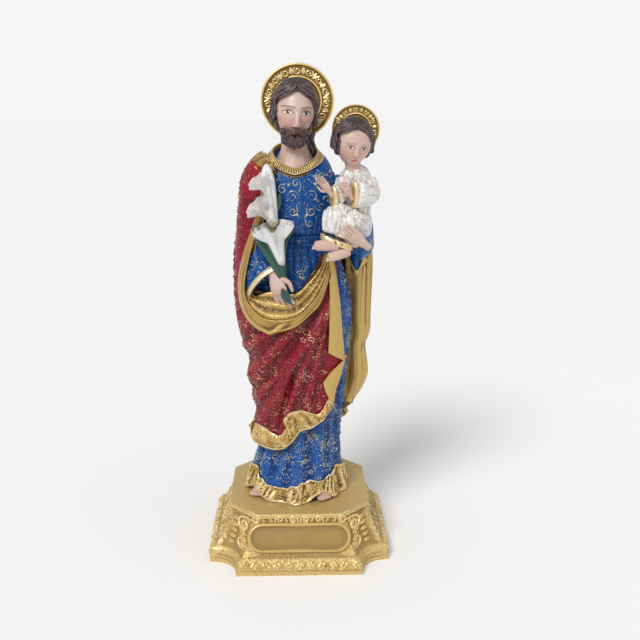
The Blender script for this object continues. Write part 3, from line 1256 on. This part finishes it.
dress(cloth("tunic_hem", 160, 12, tunic_hem, 2.4, closed=True), "figure", "lining_gold", lace_gold)
for name, heel, toe in (("child_foot_right", (24, -33, 163), (9.6, -36, 163.2)),
                        ("child_foot_left", (30, -32, 160), (17.5, -36, 156.2))):
    parts = [limb("instep", [(*heel, 3.4, 3.4), (*Vector(heel).lerp(Vector(toe), 0.45), 3.5, 3.0), (*toe, 3.0, 2.2)],
                  (0, 0.75, 0.66))]
    for index in range(5):
        side = Vector((0.1, 0.72, 0.62)) * (index - 2) * 1.0
        start = Vector(heel).lerp(Vector(toe), 0.88) + side
        end = start + (Vector(toe) - Vector(heel)).normalized() * (3.0 - 0.3 * index)
        parts.append(limb("toe", [(*start, 0.72, 0.8), (*end, 0.6, 0.6)], (0, 0.75, 0.66), 12, 12))
    dress(fuse(name, parts, 0.2, 1), "figure", "skin", skin)
for name, line, side in (
    ("child_cuff_right", ((22.4, -28.4, 190.2, 6.2, 3.2), (20.8, -29.2, 190.0, 6.8, 3.8),
                          (19.6, -29.8, 190.0, 6.0, 3.0)), (0.1, 0, -1)),
    ("child_cuff_left", ((33.8, -28.2, 191.4, 7.4, 3.6), (32.6, -28.8, 191.4, 7.9, 4.1),
                         (31.6, -29.2, 191.4, 7.2, 3.4)), (0, 0, 1)),
):
    dress(limb(name, line, side, 80, 24), "figure", "lining_gold", lace_gold)
hand("child_hand_right", (18.8, -30.6, 192.5), (-0.55, -0.12, 0.78), (0.5, 0.75, 0.2), 13.5, 0.25, thumb=1.0, voxel=0.2)
hand("child_hand_left", (30.6, -30.4, 190.5), (-0.45, -0.25, 0.8), (0.25, -0.9, 0.1), 12, 0.7, thumb=-1.0, voxel=0.2)


# The lily.


def trumpet(name, mouth, foot, size):
    mouth, foot = Vector(mouth), Vector(foot)
    run = (mouth - foot).normalized()
    aside = run.cross(Vector((0, 1, 0))).normalized()
    ahead = run.cross(aside)
    length = (mouth - foot).length

    def shape(angle, share):
        outer = np.clip(share / 0.62, 0, 1)
        inner = np.clip((share - 0.62) / 0.38, 0, 1)
        lobes = 1 + (0.22 * np.cos(6 * angle) + 0.05 * np.cos(12 * angle)) * outer**3
        radius = size * (0.20 + 0.26 * outer + 0.54 * outer**3) * lobes * np.sqrt(np.clip(outer / 0.12, 0, 1))
        radius = radius * (1 - inner) ** 0.8
        height = length * outer - size * 0.55 * smooth_step(0.72, 1, outer) * (lobes - 0.85)
        height = height - length * 0.38 * inner**0.8
        centre = np.array(foot)[:, None] + np.array(run)[:, None] * height
        return (centre + np.array(aside)[:, None] * np.sin(angle) * radius
                + np.array(ahead)[:, None] * np.cos(angle) * radius)

    return dress(ball(name, 120, 90, shape), "figure", "pearl_white", pearl_white)


trumpet("lily_top", (-22.5, -26.0, 200.5), (-14.5, -22.0, 189), 6.6)


def petals(angle, way):
    return 0.30 * np.abs(np.cos(1.5 * angle + 1.6 * way)) - 0.16


dress(limb("lily_bud", [(-17.6, -20.0, 208.0, 1.6, 2.0), (-17.0, -21.0, 202, 3.2, 3.8), (-15.8, -22.0, 191, 3.5, 3.8),
                        (-14.8, -23.0, 181, 3.2, 3.4), (-13.6, -24.5, 172, 2.4, 2.4)], (1, 0, 0), 60, 80, petals),
      "figure", "pearl_white", pearl_white)
trumpet("lily_second", (-24.2, -27.0, 186), (-14.5, -23.0, 175.5), 7.2)
trumpet("lily_low", (-14.3, -29.5, 175), (-8.8, -28.0, 149), 11.2)
stamens, heart = [], (-12.9, -29.5, 166)
for index in range(5):
    turn = index * 2 * math.pi / 5 + 0.4
    tip = (-14.6 + 2.6 * math.cos(turn), -30.5 + 1.6 * math.sin(turn), 177.6 + 0.5 * math.cos(3 * turn))
    neck = Vector(tip).lerp(Vector(heart), 0.15)
    stamens.append(limb("stamen", [(*heart, 0.35, 0.35), (*neck, 0.35, 0.35), (*tip, 0.75, 0.6)], (1, 0, 0), 10, 24))
dress(join_parts("lily_stamens", stamens), "figure", "lining_gold", lace_gold)
green_parts = [limb("stem", [(-5.8, -28.5, 128, 0.9, 0.9), (-7.6, -27.6, 146, 0.9, 0.9), (-11, -23.5, 166, 0.9, 0.9),
                             (-13.5, -20.5, 190, 0.8, 0.8), (-14.5, -19.5, 204, 0.7, 0.7)], (1, 0, 0), 16, 60)]


def vein(angle, way):
    return -0.22 * bump(np.sin(angle), 0, 0.18)


for line, side in (
    ([(-26.0, -24.5, 174, 0.8, 0.6), (-21.5, -27.5, 167, 3.0, 0.9), (-16.5, -29, 159, 3.6, 1.0),
      (-11.5, -29.5, 150, 3.2, 0.9), (-8.2, -29.8, 142, 1.8, 0.8)], (0.85, 0, 0.5)),
    ([(-0.6, -22.0, 170.5, 0.6, 0.5), (-5.2, -24.0, 167, 1.3, 0.8), (-8.0, -26.2, 157, 1.6, 0.9),
      (-7.6, -28.0, 144, 1.3, 0.8)], (1, 0, 0.2)),
    ([(-9.6, -20.2, 191, 0.6, 0.5), (-11.2, -21.0, 185.5, 2.2, 0.8), (-13.2, -21.5, 179, 1.2, 0.8)], (1, 0, 0)),
    ([(-9.3, -32.2, 137.6, 0.6, 0.6), (-6.9, -33.0, 133.4, 2.6, 1.2), (-4.4, -32.4, 128.8, 1.0, 0.8)],
     (0.85, 0, 0.5)),
):
    green_parts.append(limb("leaf", line, side, 36, 50, vein))
dress(join_parts("lily_green", green_parts), "figure", "leaf_green", leaf_green)


# The base. Its forms are in millimetres above its foot, so they are lowered by the sole's height.

BASE_WIDTH, ARM_WIDTH, TOP_WIDTH, TOP_SIDE = 111.4, 76.8, 85.4, 51.4
BASE_RINGS = [(0, 0.03), (0.8, 0.0), (2.4, 0.0), (2.8, 0.05), (3.6, 0.03), (7.5, 0.08), (9.6, 0.2), (10.2, 0.32),
              (11.4, 0.36), (13.5, 0.48), (17, 0.62), (21, 0.75), (25, 0.86), (29, 0.95), (31.2, 1.0),
              (31.8, 0.92), (33.9, 0.92), (34.5, 0.97)]
SIDE_STEPS, CORNER_STEPS = 24, 24
DOWN = SOLE / MM


def base_outline(column, spread):
    half = (BASE_WIDTH + (TOP_WIDTH - BASE_WIDTH) * spread) / 2
    straight = (ARM_WIDTH + (TOP_SIDE - ARM_WIDTH) * spread) / 2
    turn = SIDE_STEPS + CORNER_STEPS
    quarter = np.floor((column + SIDE_STEPS / 2) / turn)
    within = (column + SIDE_STEPS / 2) - quarter * turn
    side_share = np.clip(within / SIDE_STEPS, 0, 1) * 2 - 1
    bend = np.clip((within - SIDE_STEPS) / CORNER_STEPS, 0, 1)
    draw = 0.92 - 0.92 * smooth_step(-0.05, 1, spread)
    middle = (straight + half) / 2
    corner = middle + (straight - middle) * draw
    x = np.where(bend > 0, (1 - bend) ** 2 * straight + 2 * bend * (1 - bend) * corner + bend**2 * half,
                 side_share * straight)
    y = -np.where(bend > 0, (1 - bend) ** 2 * half + 2 * bend * (1 - bend) * corner + bend**2 * straight, half)
    angle = quarter * math.pi / 2
    return x * np.cos(angle) - y * np.sin(angle), x * np.sin(angle) + y * np.cos(angle)


def slope_place(x, height, out=0.0):
    rings = np.array(BASE_RINGS)[9:15]
    spread = np.interp(height, rings[:, 0], rings[:, 1])
    outline_x, outline_y = base_outline(np.arange(SIDE_STEPS // 2 + CORNER_STEPS), spread)
    return Vector((x, np.interp(abs(x), outline_x, outline_y) - out * 0.94, height + out * 0.34 - DOWN))


base_rows = []
for (low, first), (high, second) in zip(BASE_RINGS[:-1], BASE_RINGS[1:]):
    steps = max(1, int((high - low) / 0.8))
    base_rows += [(low + (high - low) * k / steps, first + (second - first) * k / steps) for k in range(steps)]
base_rows = [(height, spread, 1.0) for height, spread in base_rows + [BASE_RINGS[-1]]]
base_rows = np.array(base_rows + [(34.5, 0.97, share) for share in (0.975, 0.9, 0.6, 0.3)])


def base_shape(angle, share):
    count = 4 * (SIDE_STEPS + CORNER_STEPS)
    rows = len(base_rows) + 1
    column = np.round(angle / (2 * math.pi) * count)
    row = np.clip(np.round(share * rows) - 1, 0, len(base_rows) - 1).astype(int)
    x, y = base_outline(column, base_rows[row, 1])
    pole = ((share > 1e-6) & (share < 1 - 1e-6)) * base_rows[row, 2]
    return x * pole, y * pole, base_rows[row, 0] - DOWN


dress(ball("base_body", 4 * (SIDE_STEPS + CORNER_STEPS), len(base_rows) + 1, base_shape), "base", "base_gold",
      base_dotted)

PLAQUE_RINGS = np.array([(9.0, -3.0), (2.4, -3.0), (0.3, -3.0), (0.0, 1.6), (0.5, 2.6), (1.4, 2.9), (2.2, 2.4),
                         (2.7, 1.3), (3.0, 1.2), (3.6, 1.2), (4.6, 1.2), (6.6, 1.2), (9.0, 1.2)])


def plaque_shape(angle, share):
    length, height = 31.5, 9.0
    row = np.clip(np.round(share * (len(PLAQUE_RINGS) - 1)), 0, len(PLAQUE_RINGS) - 1).astype(int)
    inset, out = PLAQUE_RINGS[row, 0], PLAQUE_RINGS[row, 1]
    radius = height - inset
    edge = np.sign(np.sin(angle)) * (np.abs(np.sin(angle)) > 1e-6)
    x = np.where(radius < 1e-6, 0, np.sin(angle) * radius + edge * (length - height))
    up = np.cos(angle) * radius
    _, middle_y, middle_z = slope_place(0, 20.5)
    lean = math.radians(22)
    return (x, middle_y - out * math.cos(lean) + up * math.sin(lean),
            middle_z + out * math.sin(lean) + up * math.cos(lean))


dress(ball("plaque", 96, len(PLAQUE_RINGS) - 1, plaque_shape), "base", "base_gold", base_plain)


def volute(centre, start, radius, turns, thick, tail=0.0, flip=1):
    line = []
    steps = max(8, int(14 * turns))
    if tail:
        first = slope_place(centre[0] + radius * math.cos(start) + tail * flip * math.sin(start),
                            centre[1] + radius * math.sin(start) - tail * flip * math.cos(start), 0.4)
        line.append((*first, thick * 0.5, thick * 0.5))
    for step in range(steps + 1):
        share = step / steps
        angle = start + flip * share * turns * 2 * math.pi
        size = radius * (1 - 0.8 * share)
        point = slope_place(centre[0] + size * math.cos(angle), centre[1] + size * math.sin(angle), 0.4 + 0.9 * share)
        line.append((*point, thick, thick))
    return limb("volute", line, (0, 1, 0.3), 16, steps * 5)


def lobed(depth, count):
    """The edge of a leaf with this many lobes, and the groove along its middle."""

    def crease(angle, way):
        return depth * np.cos(count * way) * np.abs(np.sin(angle)) - 0.35 * bump(np.sin(angle), 0, 0.16)

    return crease


def relief_leaf(start, end, width, thick, aside):
    middle = Vector(start).lerp(Vector(end), 0.5) + Vector((0, -thick * 0.5, 0))
    return limb("leaf", [(*start, width * 0.4, thick * 0.6), (*middle, width, thick), (*end, width * 0.2, thick * 0.3)],
                aside, 20, 26, lobed(0.18, 22))


ornament = []
for side in (-1, 1):
    start = math.pi if side > 0 else 0
    ornament.append(volute((side * 3.6, 30.6), start, 2.6, 1.2, 0.75, 5.0, -side))
    ornament.append(volute((side * 12.0, 31.0), math.pi - start, 2.4, 1.2, 0.7, 6.0, side))
    ornament.append(volute((side * 34.0, 25.5), math.pi / 2, 3.8, 1.4, 0.9, 7.0, -side))
    ornament.append(volute((side * 35.0, 15.5), -math.pi / 2, 3.0, 1.3, 0.85, 6.0, side))
    ornament.append(volute((side * 26.5, 31.0), math.pi / 2, 2.8, 1.2, 0.8, 6.0, side))
    leaf_lines = []
    for index in range(10):
        turn = math.radians(-62 + 14.5 * index)
        leaf_lines.append(((22.5 + 10.0 * math.cos(turn), 20.5 + 10.0 * math.sin(turn)),
                           (22.5 + 14.6 * math.cos(turn + 0.28), 20.5 + 13.0 * math.sin(turn + 0.28)), 1.25))
    for index in range(5):
        leaf_lines.append(((2.0 + 4.6 * index, 29.3), (4.6 + 4.6 * index, 31.8), 0.95))
        leaf_lines.append(((36.5 + 0.8 * index, 26.0 - 3.2 * index), (40.5 + 0.9 * index, 28.5 - 3.6 * index), 1.2))
    for (x0, z0), (x1, z1), width in leaf_lines:
        start, end = slope_place(side * x0, z0, 0.4), slope_place(side * x1, min(z1, 32.4), 0.4)
        aside = (end - start).cross(Vector((0, -1, 0.36))).normalized()
        ornament.append(relief_leaf(start, end, width, 1.2, aside))
dress(join_parts("front_ornament", ornament), "base", "base_gold", base_gold)

leaves = []
for quarter in range(4):
    turned = Matrix.Rotation(quarter * math.pi / 2, 4, "Z")
    for index in range(11):
        x = -34 + 6.8 * index
        lean = 2.0 if index % 2 else -2.0
        start, end = Vector((x - lean, -55.0, 3.4 - DOWN)), Vector((x + lean, -52.6, 9.2 - DOWN))
        middle = start.lerp(end, 0.5) + Vector((0, -1.0, 0.6))
        line = [(*(turned @ start), 1.2, 0.9), (*(turned @ middle), 2.3, 1.3), (*(turned @ end), 0.9, 0.7)]
        leaves.append(limb("leaf", line, turned @ Vector((1, 0, 0.2)), 20, 26, lobed(0.2, 20)))
dress(join_parts("foot_leaves", leaves), "base", "base_gold", base_gold)


# The halos.


def strands(name, radius, resolution):
    """An empty bundle of round strands, this thick in millimetres."""
    curve = bpy.data.curves.new(name, "CURVE")
    curve.dimensions = "3D"
    curve.bevel_depth = radius * MM
    curve.bevel_resolution = resolution
    return curve


def as_mesh(name, curve):
    piece = bpy.data.objects.new(name, curve)
    bpy.context.scene.collection.objects.link(piece)
    only(piece)
    bpy.ops.object.convert(target="MESH")
    return bpy.context.object


def make_halo(name, centre, radius, thick, turn):
    rings = [(0.0, thick), (0.97 * radius, thick), (0.995 * radius, thick * 0.8), (radius, thick * 0.4),
             (radius * 0.995, thick * 0.1), (radius * 0.97, -0.1), (radius * 0.94, 0.0), (radius * 0.915, thick * 0.25),
             (radius * 0.80, thick * 0.28), (radius * 0.68, thick * 0.25), (radius * 0.66, 0.05),
             (radius * 0.635, -0.1), (radius * 0.61, 0.05), (radius * 0.59, thick * 0.25), (0.0, thick * 0.25)]
    rings = np.array(rings)
    turned = np.array(Matrix.Rotation(turn, 3, "Z"))

    def shape(angle, share):
        row = np.clip(np.round(share * (len(rings) - 1)), 0, len(rings) - 1).astype(int)
        out, back = rings[row, 0], rings[row, 1]
        points = np.array([np.sin(angle) * out, back, -np.cos(angle) * out])
        return turned @ points + np.array(centre)[:, None]

    dress(ball(name + "_disc", 160, len(rings) - 1, shape), name, "halo_gold", halo_gold)
    # Scrolls and leaves round the band between the rim and the ring.
    curve = strands(name + "_scrolls", 1.0, 1)
    count = 15 if radius > 18 else 11
    middle, room = radius * 0.795, radius * 0.105

    def lay(points, sizes):
        strand = curve.splines.new("POLY")
        strand.points.add(len(points) - 1)
        for spot, (ring_angle, out), size in zip(strand.points, points, sizes):
            place = turned @ np.array([math.sin(ring_angle) * out, thick * 0.22, math.cos(ring_angle) * out])
            place = (place + np.array(centre)) * MM
            spot.co = (place[0], place[1], place[2] + SOLE, 1)
            spot.radius = size

    for index in range(count):
        ring_angle = 2 * math.pi * index / count
        flip = 1 if index % 2 else -1
        points, sizes = [], []
        for step in range(15):
            share = step / 14
            turn_angle = flip * (0.6 + share * 2.6 * math.pi)
            reach = room * (1 - 0.78 * share)
            out = middle + flip * room * 0.05 + reach * math.cos(turn_angle)
            points.append((ring_angle + reach * math.sin(turn_angle) / middle, out))
            sizes.append((0.55 - 0.2 * share) * radius / 22)
        lay(points, sizes)
        for fan in (-1, 0, 1):
            leaf_angle = ring_angle + math.pi / count
            tip = leaf_angle + fan * room * 0.6 / middle
            lay([(leaf_angle, middle - flip * room * 0.9), ((leaf_angle + tip) / 2, middle),
                 (tip, middle + flip * room * (0.9 - 0.3 * abs(fan)))],
                [0.3 * radius / 22, 0.75 * radius / 22, 0.2 * radius / 22])
    dress(as_mesh(name + "_scrolls", curve), name, "halo_gold", halo_gold)


make_halo("halo", (0.6, 9.0, 243.0), 22.0, 3.0, 0.0)
make_halo("child_halo", (34.2, -10.0, 227.0), 14.1, 2.4, math.radians(-14))


# Raised lines over the cloth, laid on from outside and left out where something covers them.

chance = np.random.default_rng(11)


def tree_of(name):
    return BVHTree.FromObject(bpy.data.objects[name], bpy.context.evaluated_depsgraph_get())


trees = {name: tree_of(name) for name in (
    "robe", "belt", "collar", "robe_hem", "mantle", "wing", "rim", "pouch", "fall", "zigzag", "mantle_hem",
    "sleeve_right", "cuff_right", "hand_right", "sleeve_left", "sleeve_left_drop", "hand_left", "tunic",
    "tunic_hem", "lily_top", "lily_second", "lily_bud", "lily_low", "lily_green", "saint_hair", "child_hair")}


def from_round(angle, z):
    """A look at the figure's middle from all round."""
    way = Vector((-math.sin(angle), math.cos(angle), 0))
    return Vector((0, 1, z)) - way * 90, way


def from_front(x, z):
    return Vector((x, -90, z)), Vector((0, 1, 0))


def raised(name, node, finish, over, strokes, size=0.42, among=None):
    """Turns strokes, each a list of (look, thickness), into raised lines on the pieces in over."""
    curve = strands(name, size, 0)
    for stroke in strokes:
        runs, run = [], []
        for (start, way), thick in stroke:
            start = Vector((start.x, start.y, start.z)) * MM + Vector((0, 0, SOLE))
            nearest, owner, facing = 1e9, None, None
            for key, tree in (among or trees).items():
                place, normal, _, distance = tree.ray_cast(start, way, RAY_REACH)
                if place is not None and distance < nearest:
                    nearest, owner, facing = distance, key, normal
            if owner in over and abs(facing.dot(way)) > LEAST_FACING:
                run.append((start + way * nearest, thick))
            else:
                runs, run = runs + [run], []
        for run in runs + [run]:
            if len(run) < 3 or any((a[0] - b[0]).length > LONGEST_STEP for a, b in zip(run, run[1:])):
                continue
            line = curve.splines.new("POLY")
            line.points.add(len(run) - 1)
            for index, (place, thick) in enumerate(run):
                line.points[index].co = (*place, 1)
                ends = 0.35 if index in (0, len(run) - 1) else 1
                line.points[index].radius = thick * ends
    piece = as_mesh(name, curve)
    bpy.ops.object.shade_smooth()
    piece.data.materials.append(finish.material)
    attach(piece, "root")
    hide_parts(node)
    return piece


def curl(radius, turns, start, flip, tail=0.0):
    """A spiral with a tail leading into it, as (across, up, thickness)."""
    line = []
    if tail:
        for step in (1.0, 0.66, 0.33):
            bend = 0.25 * tail * step * step
            line.append((radius * math.cos(start) + flip * math.sin(start) * tail * step + math.cos(start) * bend,
                         radius * math.sin(start) - flip * math.cos(start) * tail * step + math.sin(start) * bend,
                         1 - 0.45 * step))
    steps = max(int(9 * turns), int(4.5 * radius * turns))
    for step in range(steps + 1):
        share = step / steps
        angle = start + flip * share * turns * 2 * math.pi
        reach = radius * (1 - 0.78 * share)
        line.append((reach * math.cos(angle), reach * math.sin(angle), 1 - 0.3 * share))
    return line


def scroll_pair(radius, lean, flip):
    """Two curls turned opposite ways on one bent line."""
    first = curl(radius, 1.0, 0, flip)
    second = [(-a - 2 * radius, -b, c) for a, b, c in curl(radius, 1.0, 0, flip)]
    line = first[::-1] + second
    turn = math.radians(lean)
    return [((a + radius) * math.cos(turn) - b * math.sin(turn), (a + radius) * math.sin(turn) + b * math.cos(turn), c)
            for a, b, c in line]


def leaf_stroke(length, lean, bend=0.2):
    line = []
    for step in range(6):
        share = step / 5
        far, arch = length * (share - 0.5), bend * length * math.sin(math.pi * share)
        line.append((far * math.cos(lean) - arch * math.sin(lean), far * math.sin(lean) + arch * math.cos(lean),
                     0.35 + 1.5 * math.sin(math.pi * share) ** 1.5))
    return line


def sprig(size):
    """One small ornament: a curl with leaves, a pair of curls, or a flower."""
    kind = chance.integers(0, 6)
    lean, flip = chance.uniform(0, 2 * math.pi), 1 if chance.random() < 0.5 else -1
    if kind < 3:
        found = [curl(size * 0.5, 1.15, lean, flip, size * 0.55)]
        found.append([(a + size * 0.62 * math.cos(lean + 2.6), b + size * 0.62 * math.sin(lean + 2.6), c)
                      for a, b, c in leaf_stroke(size * 0.5, lean + 0.6)])
    elif kind < 5:
        found = [scroll_pair(size * 0.34, math.degrees(lean), flip)]
        found.append([(a, b + 0.0, c * 0.9) for a, b, c in leaf_stroke(size * 0.5, lean + 1.3)])
    else:
        found = []
        for petal in range(5):
            turn = lean + petal * 2 * math.pi / 5
            found.append([(a + size * 0.24 * math.cos(turn), b + size * 0.24 * math.sin(turn), c * 0.9)
                          for a, b, c in leaf_stroke(size * 0.34, turn, 0.0)])
    return found


def spread_round(low, high, step, size, angles=(-math.pi, math.pi), keep=None, radius=28):
    """Sprigs on a loose grid round the figure."""
    found = []
    rows = int((high - low) / step)
    for row in range(rows + 1):
        columns = int(abs(angles[1] - angles[0]) * radius / step)
        for column in range(columns):
            angle = angles[0] + (angles[1] - angles[0]) * (column + 0.5 * (row % 2)) / columns
            angle += chance.uniform(-0.22, 0.22) * step / radius
            z = low + row * step + chance.uniform(-0.22, 0.22) * step
            if keep and not keep(angle, z):
                continue
            for line in sprig(size * chance.uniform(0.85, 1.1)):
                found.append([(from_round(angle + a / radius, z + b), c) for a, b, c in line])
    return found


def spread_front(x_range, z_range, step, size, keep=None):
    found = []
    for row in range(int((z_range[1] - z_range[0]) / step) + 1):
        for column in range(int((x_range[1] - x_range[0]) / step) + 1):
            x = x_range[0] + (column + 0.5 * (row % 2)) * step + chance.uniform(-0.22, 0.22) * step
            z = z_range[0] + row * step + chance.uniform(-0.22, 0.22) * step
            if keep and not keep(x, z):
                continue
            for line in sprig(size * chance.uniform(0.85, 1.1)):
                found.append([(from_front(x + a, z + b), c) for a, b, c in line])
    return found


def mirrored(lines, x, z):
    """Lays lines on the front about x, z, with their mirror copies."""
    return [[(from_front(x + side * a, z + b), c) for a, b, c in line] for side in (-1, 1) for line in lines]


def shifted(line, x, z):
    return [(a + x, b + z, c) for a, b, c in line]


chest = mirrored([
    shifted(curl(3.8, 1.4, math.pi, -1, 5.0), 5.6, 5.0),
    shifted(curl(2.9, 1.3, math.pi * 0.9, 1, 4.0), 5.4, -3.6),
    shifted(curl(2.5, 1.2, math.pi, -1, 4.0), 3.6, 12.8),
    shifted(curl(2.8, 1.2, math.pi * 0.5, -1, 4.5), 11.4, 9.2),
    shifted(curl(2.6, 1.2, math.pi * 1.2, 1, 4.0), 11.2, -1.2),
    shifted(curl(2.2, 1.2, math.pi * 1.0, 1, 4.0), 4.4, -10.6),
    shifted(curl(2.0, 1.2, 0, 1, 3.0), 9.6, -8.0),
    shifted(curl(2.0, 1.2, math.pi * 0.4, 1, 3.0), 9.4, 15.0),
    shifted(leaf_stroke(5.2, 1.15), 2.2, 0.6),
    shifted(leaf_stroke(4.4, 0.5), 3.2, -6.4),
    shifted(leaf_stroke(3.8, 2.0), 1.8, 8.8),
    shifted(leaf_stroke(3.4, -0.4), 8.8, 1.9),
    shifted(leaf_stroke(3.0, 0.8), 13.4, 3.6),
    shifted(leaf_stroke(3.0, -0.9), 7.4, 11.4),
    [(0.0, -15.0, 0.7), (0.5, -11.0, 1), (0.3, -7.0, 1.1), (0.6, -3.0, 1), (0.3, 1.0, 1.2), (0.0, 5.0, 0.8)],
], 3.0, 184.0)
column = []
for index, z in enumerate(range(136, 158, 4)):
    flip = 1 if index % 2 else -1
    column += [[(from_front(3.0 + flip * (1.8 + a), z + b), c) for a, b, c in curl(1.9, 1.1, math.pi, -1, 3.0)]]
    column += [[(from_front(3.0 - flip * (1.6 + a), z + 1.0 + b), c) for a, b, c in leaf_stroke(3.0, 0.9)]]
belt_knot = mirrored([shifted(curl(1.2, 1.0, math.pi, 1, 2.0), 2.4, 0), shifted(leaf_stroke(2.4, 0.2), 1.4, 0)],
                     3.2, 162.8)
raised("robe_scrolls_front", "figure", robe_scroll, {"robe", "belt", "sleeve_right"},
       chest + column + belt_knot
       + spread_front((-14, 24), (168, 202), 4.2, 3.8, lambda x, z: abs(x - 3) > 14 or z > 199)
       + spread_front((-36, -12), (128, 170), 4.4, 3.8), 0.58)
raised("robe_scrolls_low", "figure", robe_scroll_low, {"robe"},
       spread_round(13, 60, 4.0, 4.0)
       + spread_round(62, 150, 4.4, 4.0, (0.9, 1.9))
       + spread_round(150, 200, 5.0, 4.0, (1.2, math.pi * 1.7)), 0.46)
raised("mantle_scrolls_front", "figure", mantle_scroll, {"mantle"},
       spread_round(40, 128, 4.4, 4.4, (-1.6, 1.5)), 0.46)
raised("mantle_scrolls_back", "figure", mantle_scroll, {"mantle"},
       spread_round(34, 206, 5.0, 4.6, (-4.7, -1.2), radius=30), 0.42)
raised("hem_scrolls", "figure", gold_scroll, {"robe_hem", "mantle_hem"},
       spread_round(2, 18, 2.9, 3.0) + spread_front((-32, 24), (34, 70), 2.9, 3.0), 0.42)
raised("tunic_scrolls", "figure", tunic_scroll, {"tunic"},
       spread_front((10, 50), (160, 205), 3.4, 3.2), 0.42)
raised("pouch_scrolls", "figure", gold_scroll, {"pouch"},
       spread_front((-28, 14), (118, 146), 3.0, 2.8), 0.26)


def from_side(quarter, x, z):
    """A look at one of the four sides of the base, with z above its foot."""
    turned = Matrix.Rotation(quarter * math.pi / 2, 3, "Z")
    return turned @ Vector((x, -90, z - DOWN)), turned @ Vector((0, 1, 0))


base_lines = []
for quarter in range(4):
    spots = []
    for index in range(27):
        spots += [(-37.7 + 2.9 * index, 6.4 + 1.2 * (-1) ** index + chance.uniform(-0.4, 0.4), 3.4)]
    for row in range(5):
        for index in range(21):
            x, z = -42 + 4.2 * index + 2.1 * (row % 2), 12.5 + 4.2 * row
            if quarter and abs(x) < 40 - 0.3 * z:
                spots.append((x, z, 4.2))
    for x, z, size in spots:
        for line in sprig(size):
            base_lines.append([(from_side(quarter, x + a, z + b), c) for a, b, c in line])
raised("base_scrolls", "base", gold_scroll, {"base_body", "foot_leaves"}, base_lines, 0.5,
       {name: tree_of(name) for name in ("base_body", "plaque", "foot_leaves", "front_ornament")})


# The room.

bpy.ops.object.select_all(action="DESELECT")
bpy.ops.mesh.primitive_plane_add(size=40, location=(0, 0, FLOOR))
floor = bpy.context.object
floor.name = "studio_floor"
floor_paint = Finish("studio_floor", 0.85)
floor_paint.feed(Base_Color=floor_paint.mix(floor_paint.noise(3, 2), (0.94, 0.94, 0.94), (0.96, 0.96, 0.96)))
floor.data.materials.append(floor_paint.material)

# The sky's own strength, and the strength at which the camera sees it as bright as the floor.
SKY, BACKDROP = 0.50, 0.915
sky = bpy.data.worlds.new("studio")
bpy.context.scene.world = sky
sky.use_nodes = True
nodes, links = sky.node_tree.nodes, sky.node_tree.links
seen = nodes.new("ShaderNodeLightPath")
backdrop = nodes.new("ShaderNodeBackground")
for ground, strength in ((nodes["Background"], SKY), (backdrop, BACKDROP)):
    ground.inputs[0].default_value = (1, 1, 1, 1)
    ground.inputs[1].default_value = strength
either = nodes.new("ShaderNodeMixShader")
links.new(seen.outputs["Is Camera Ray"], either.inputs[0])
links.new(nodes["Background"].outputs[0], either.inputs[1])
links.new(backdrop.outputs[0], either.inputs[2])
links.new(either.outputs[0], nodes["World Output"].inputs[0])
bpy.context.scene.view_settings.view_transform = "Standard"


def sunlight(name, way, spread, strength):
    """A wide soft light from far off, so that the floor is lit evenly."""
    light = bpy.data.lights.new(name, "SUN")
    light.angle = math.radians(spread)
    light.energy = strength
    holder = bpy.data.objects.new(name, light)
    bpy.context.scene.collection.objects.link(holder)
    holder.rotation_euler = Vector(way).to_track_quat("-Z", "Y").to_euler()


sunlight("key_light", (0.45, 0.75, -0.9), 22, 1.9)
sunlight("fill_light", (-0.8, 0.5, -0.35), 60, 0.30)

camera = bpy.data.cameras.new("camera")
holder = bpy.data.objects.new("camera", camera)
bpy.context.scene.collection.objects.link(holder)
camera.sensor_width = 36
camera.lens = 46.23
camera.clip_start = 0.01
holder.location = (0, -0.49845, 0.2736)
holder.rotation_euler = (math.pi / 2 - 0.2519, 0, -0.02786)
bpy.context.scene.camera = holder
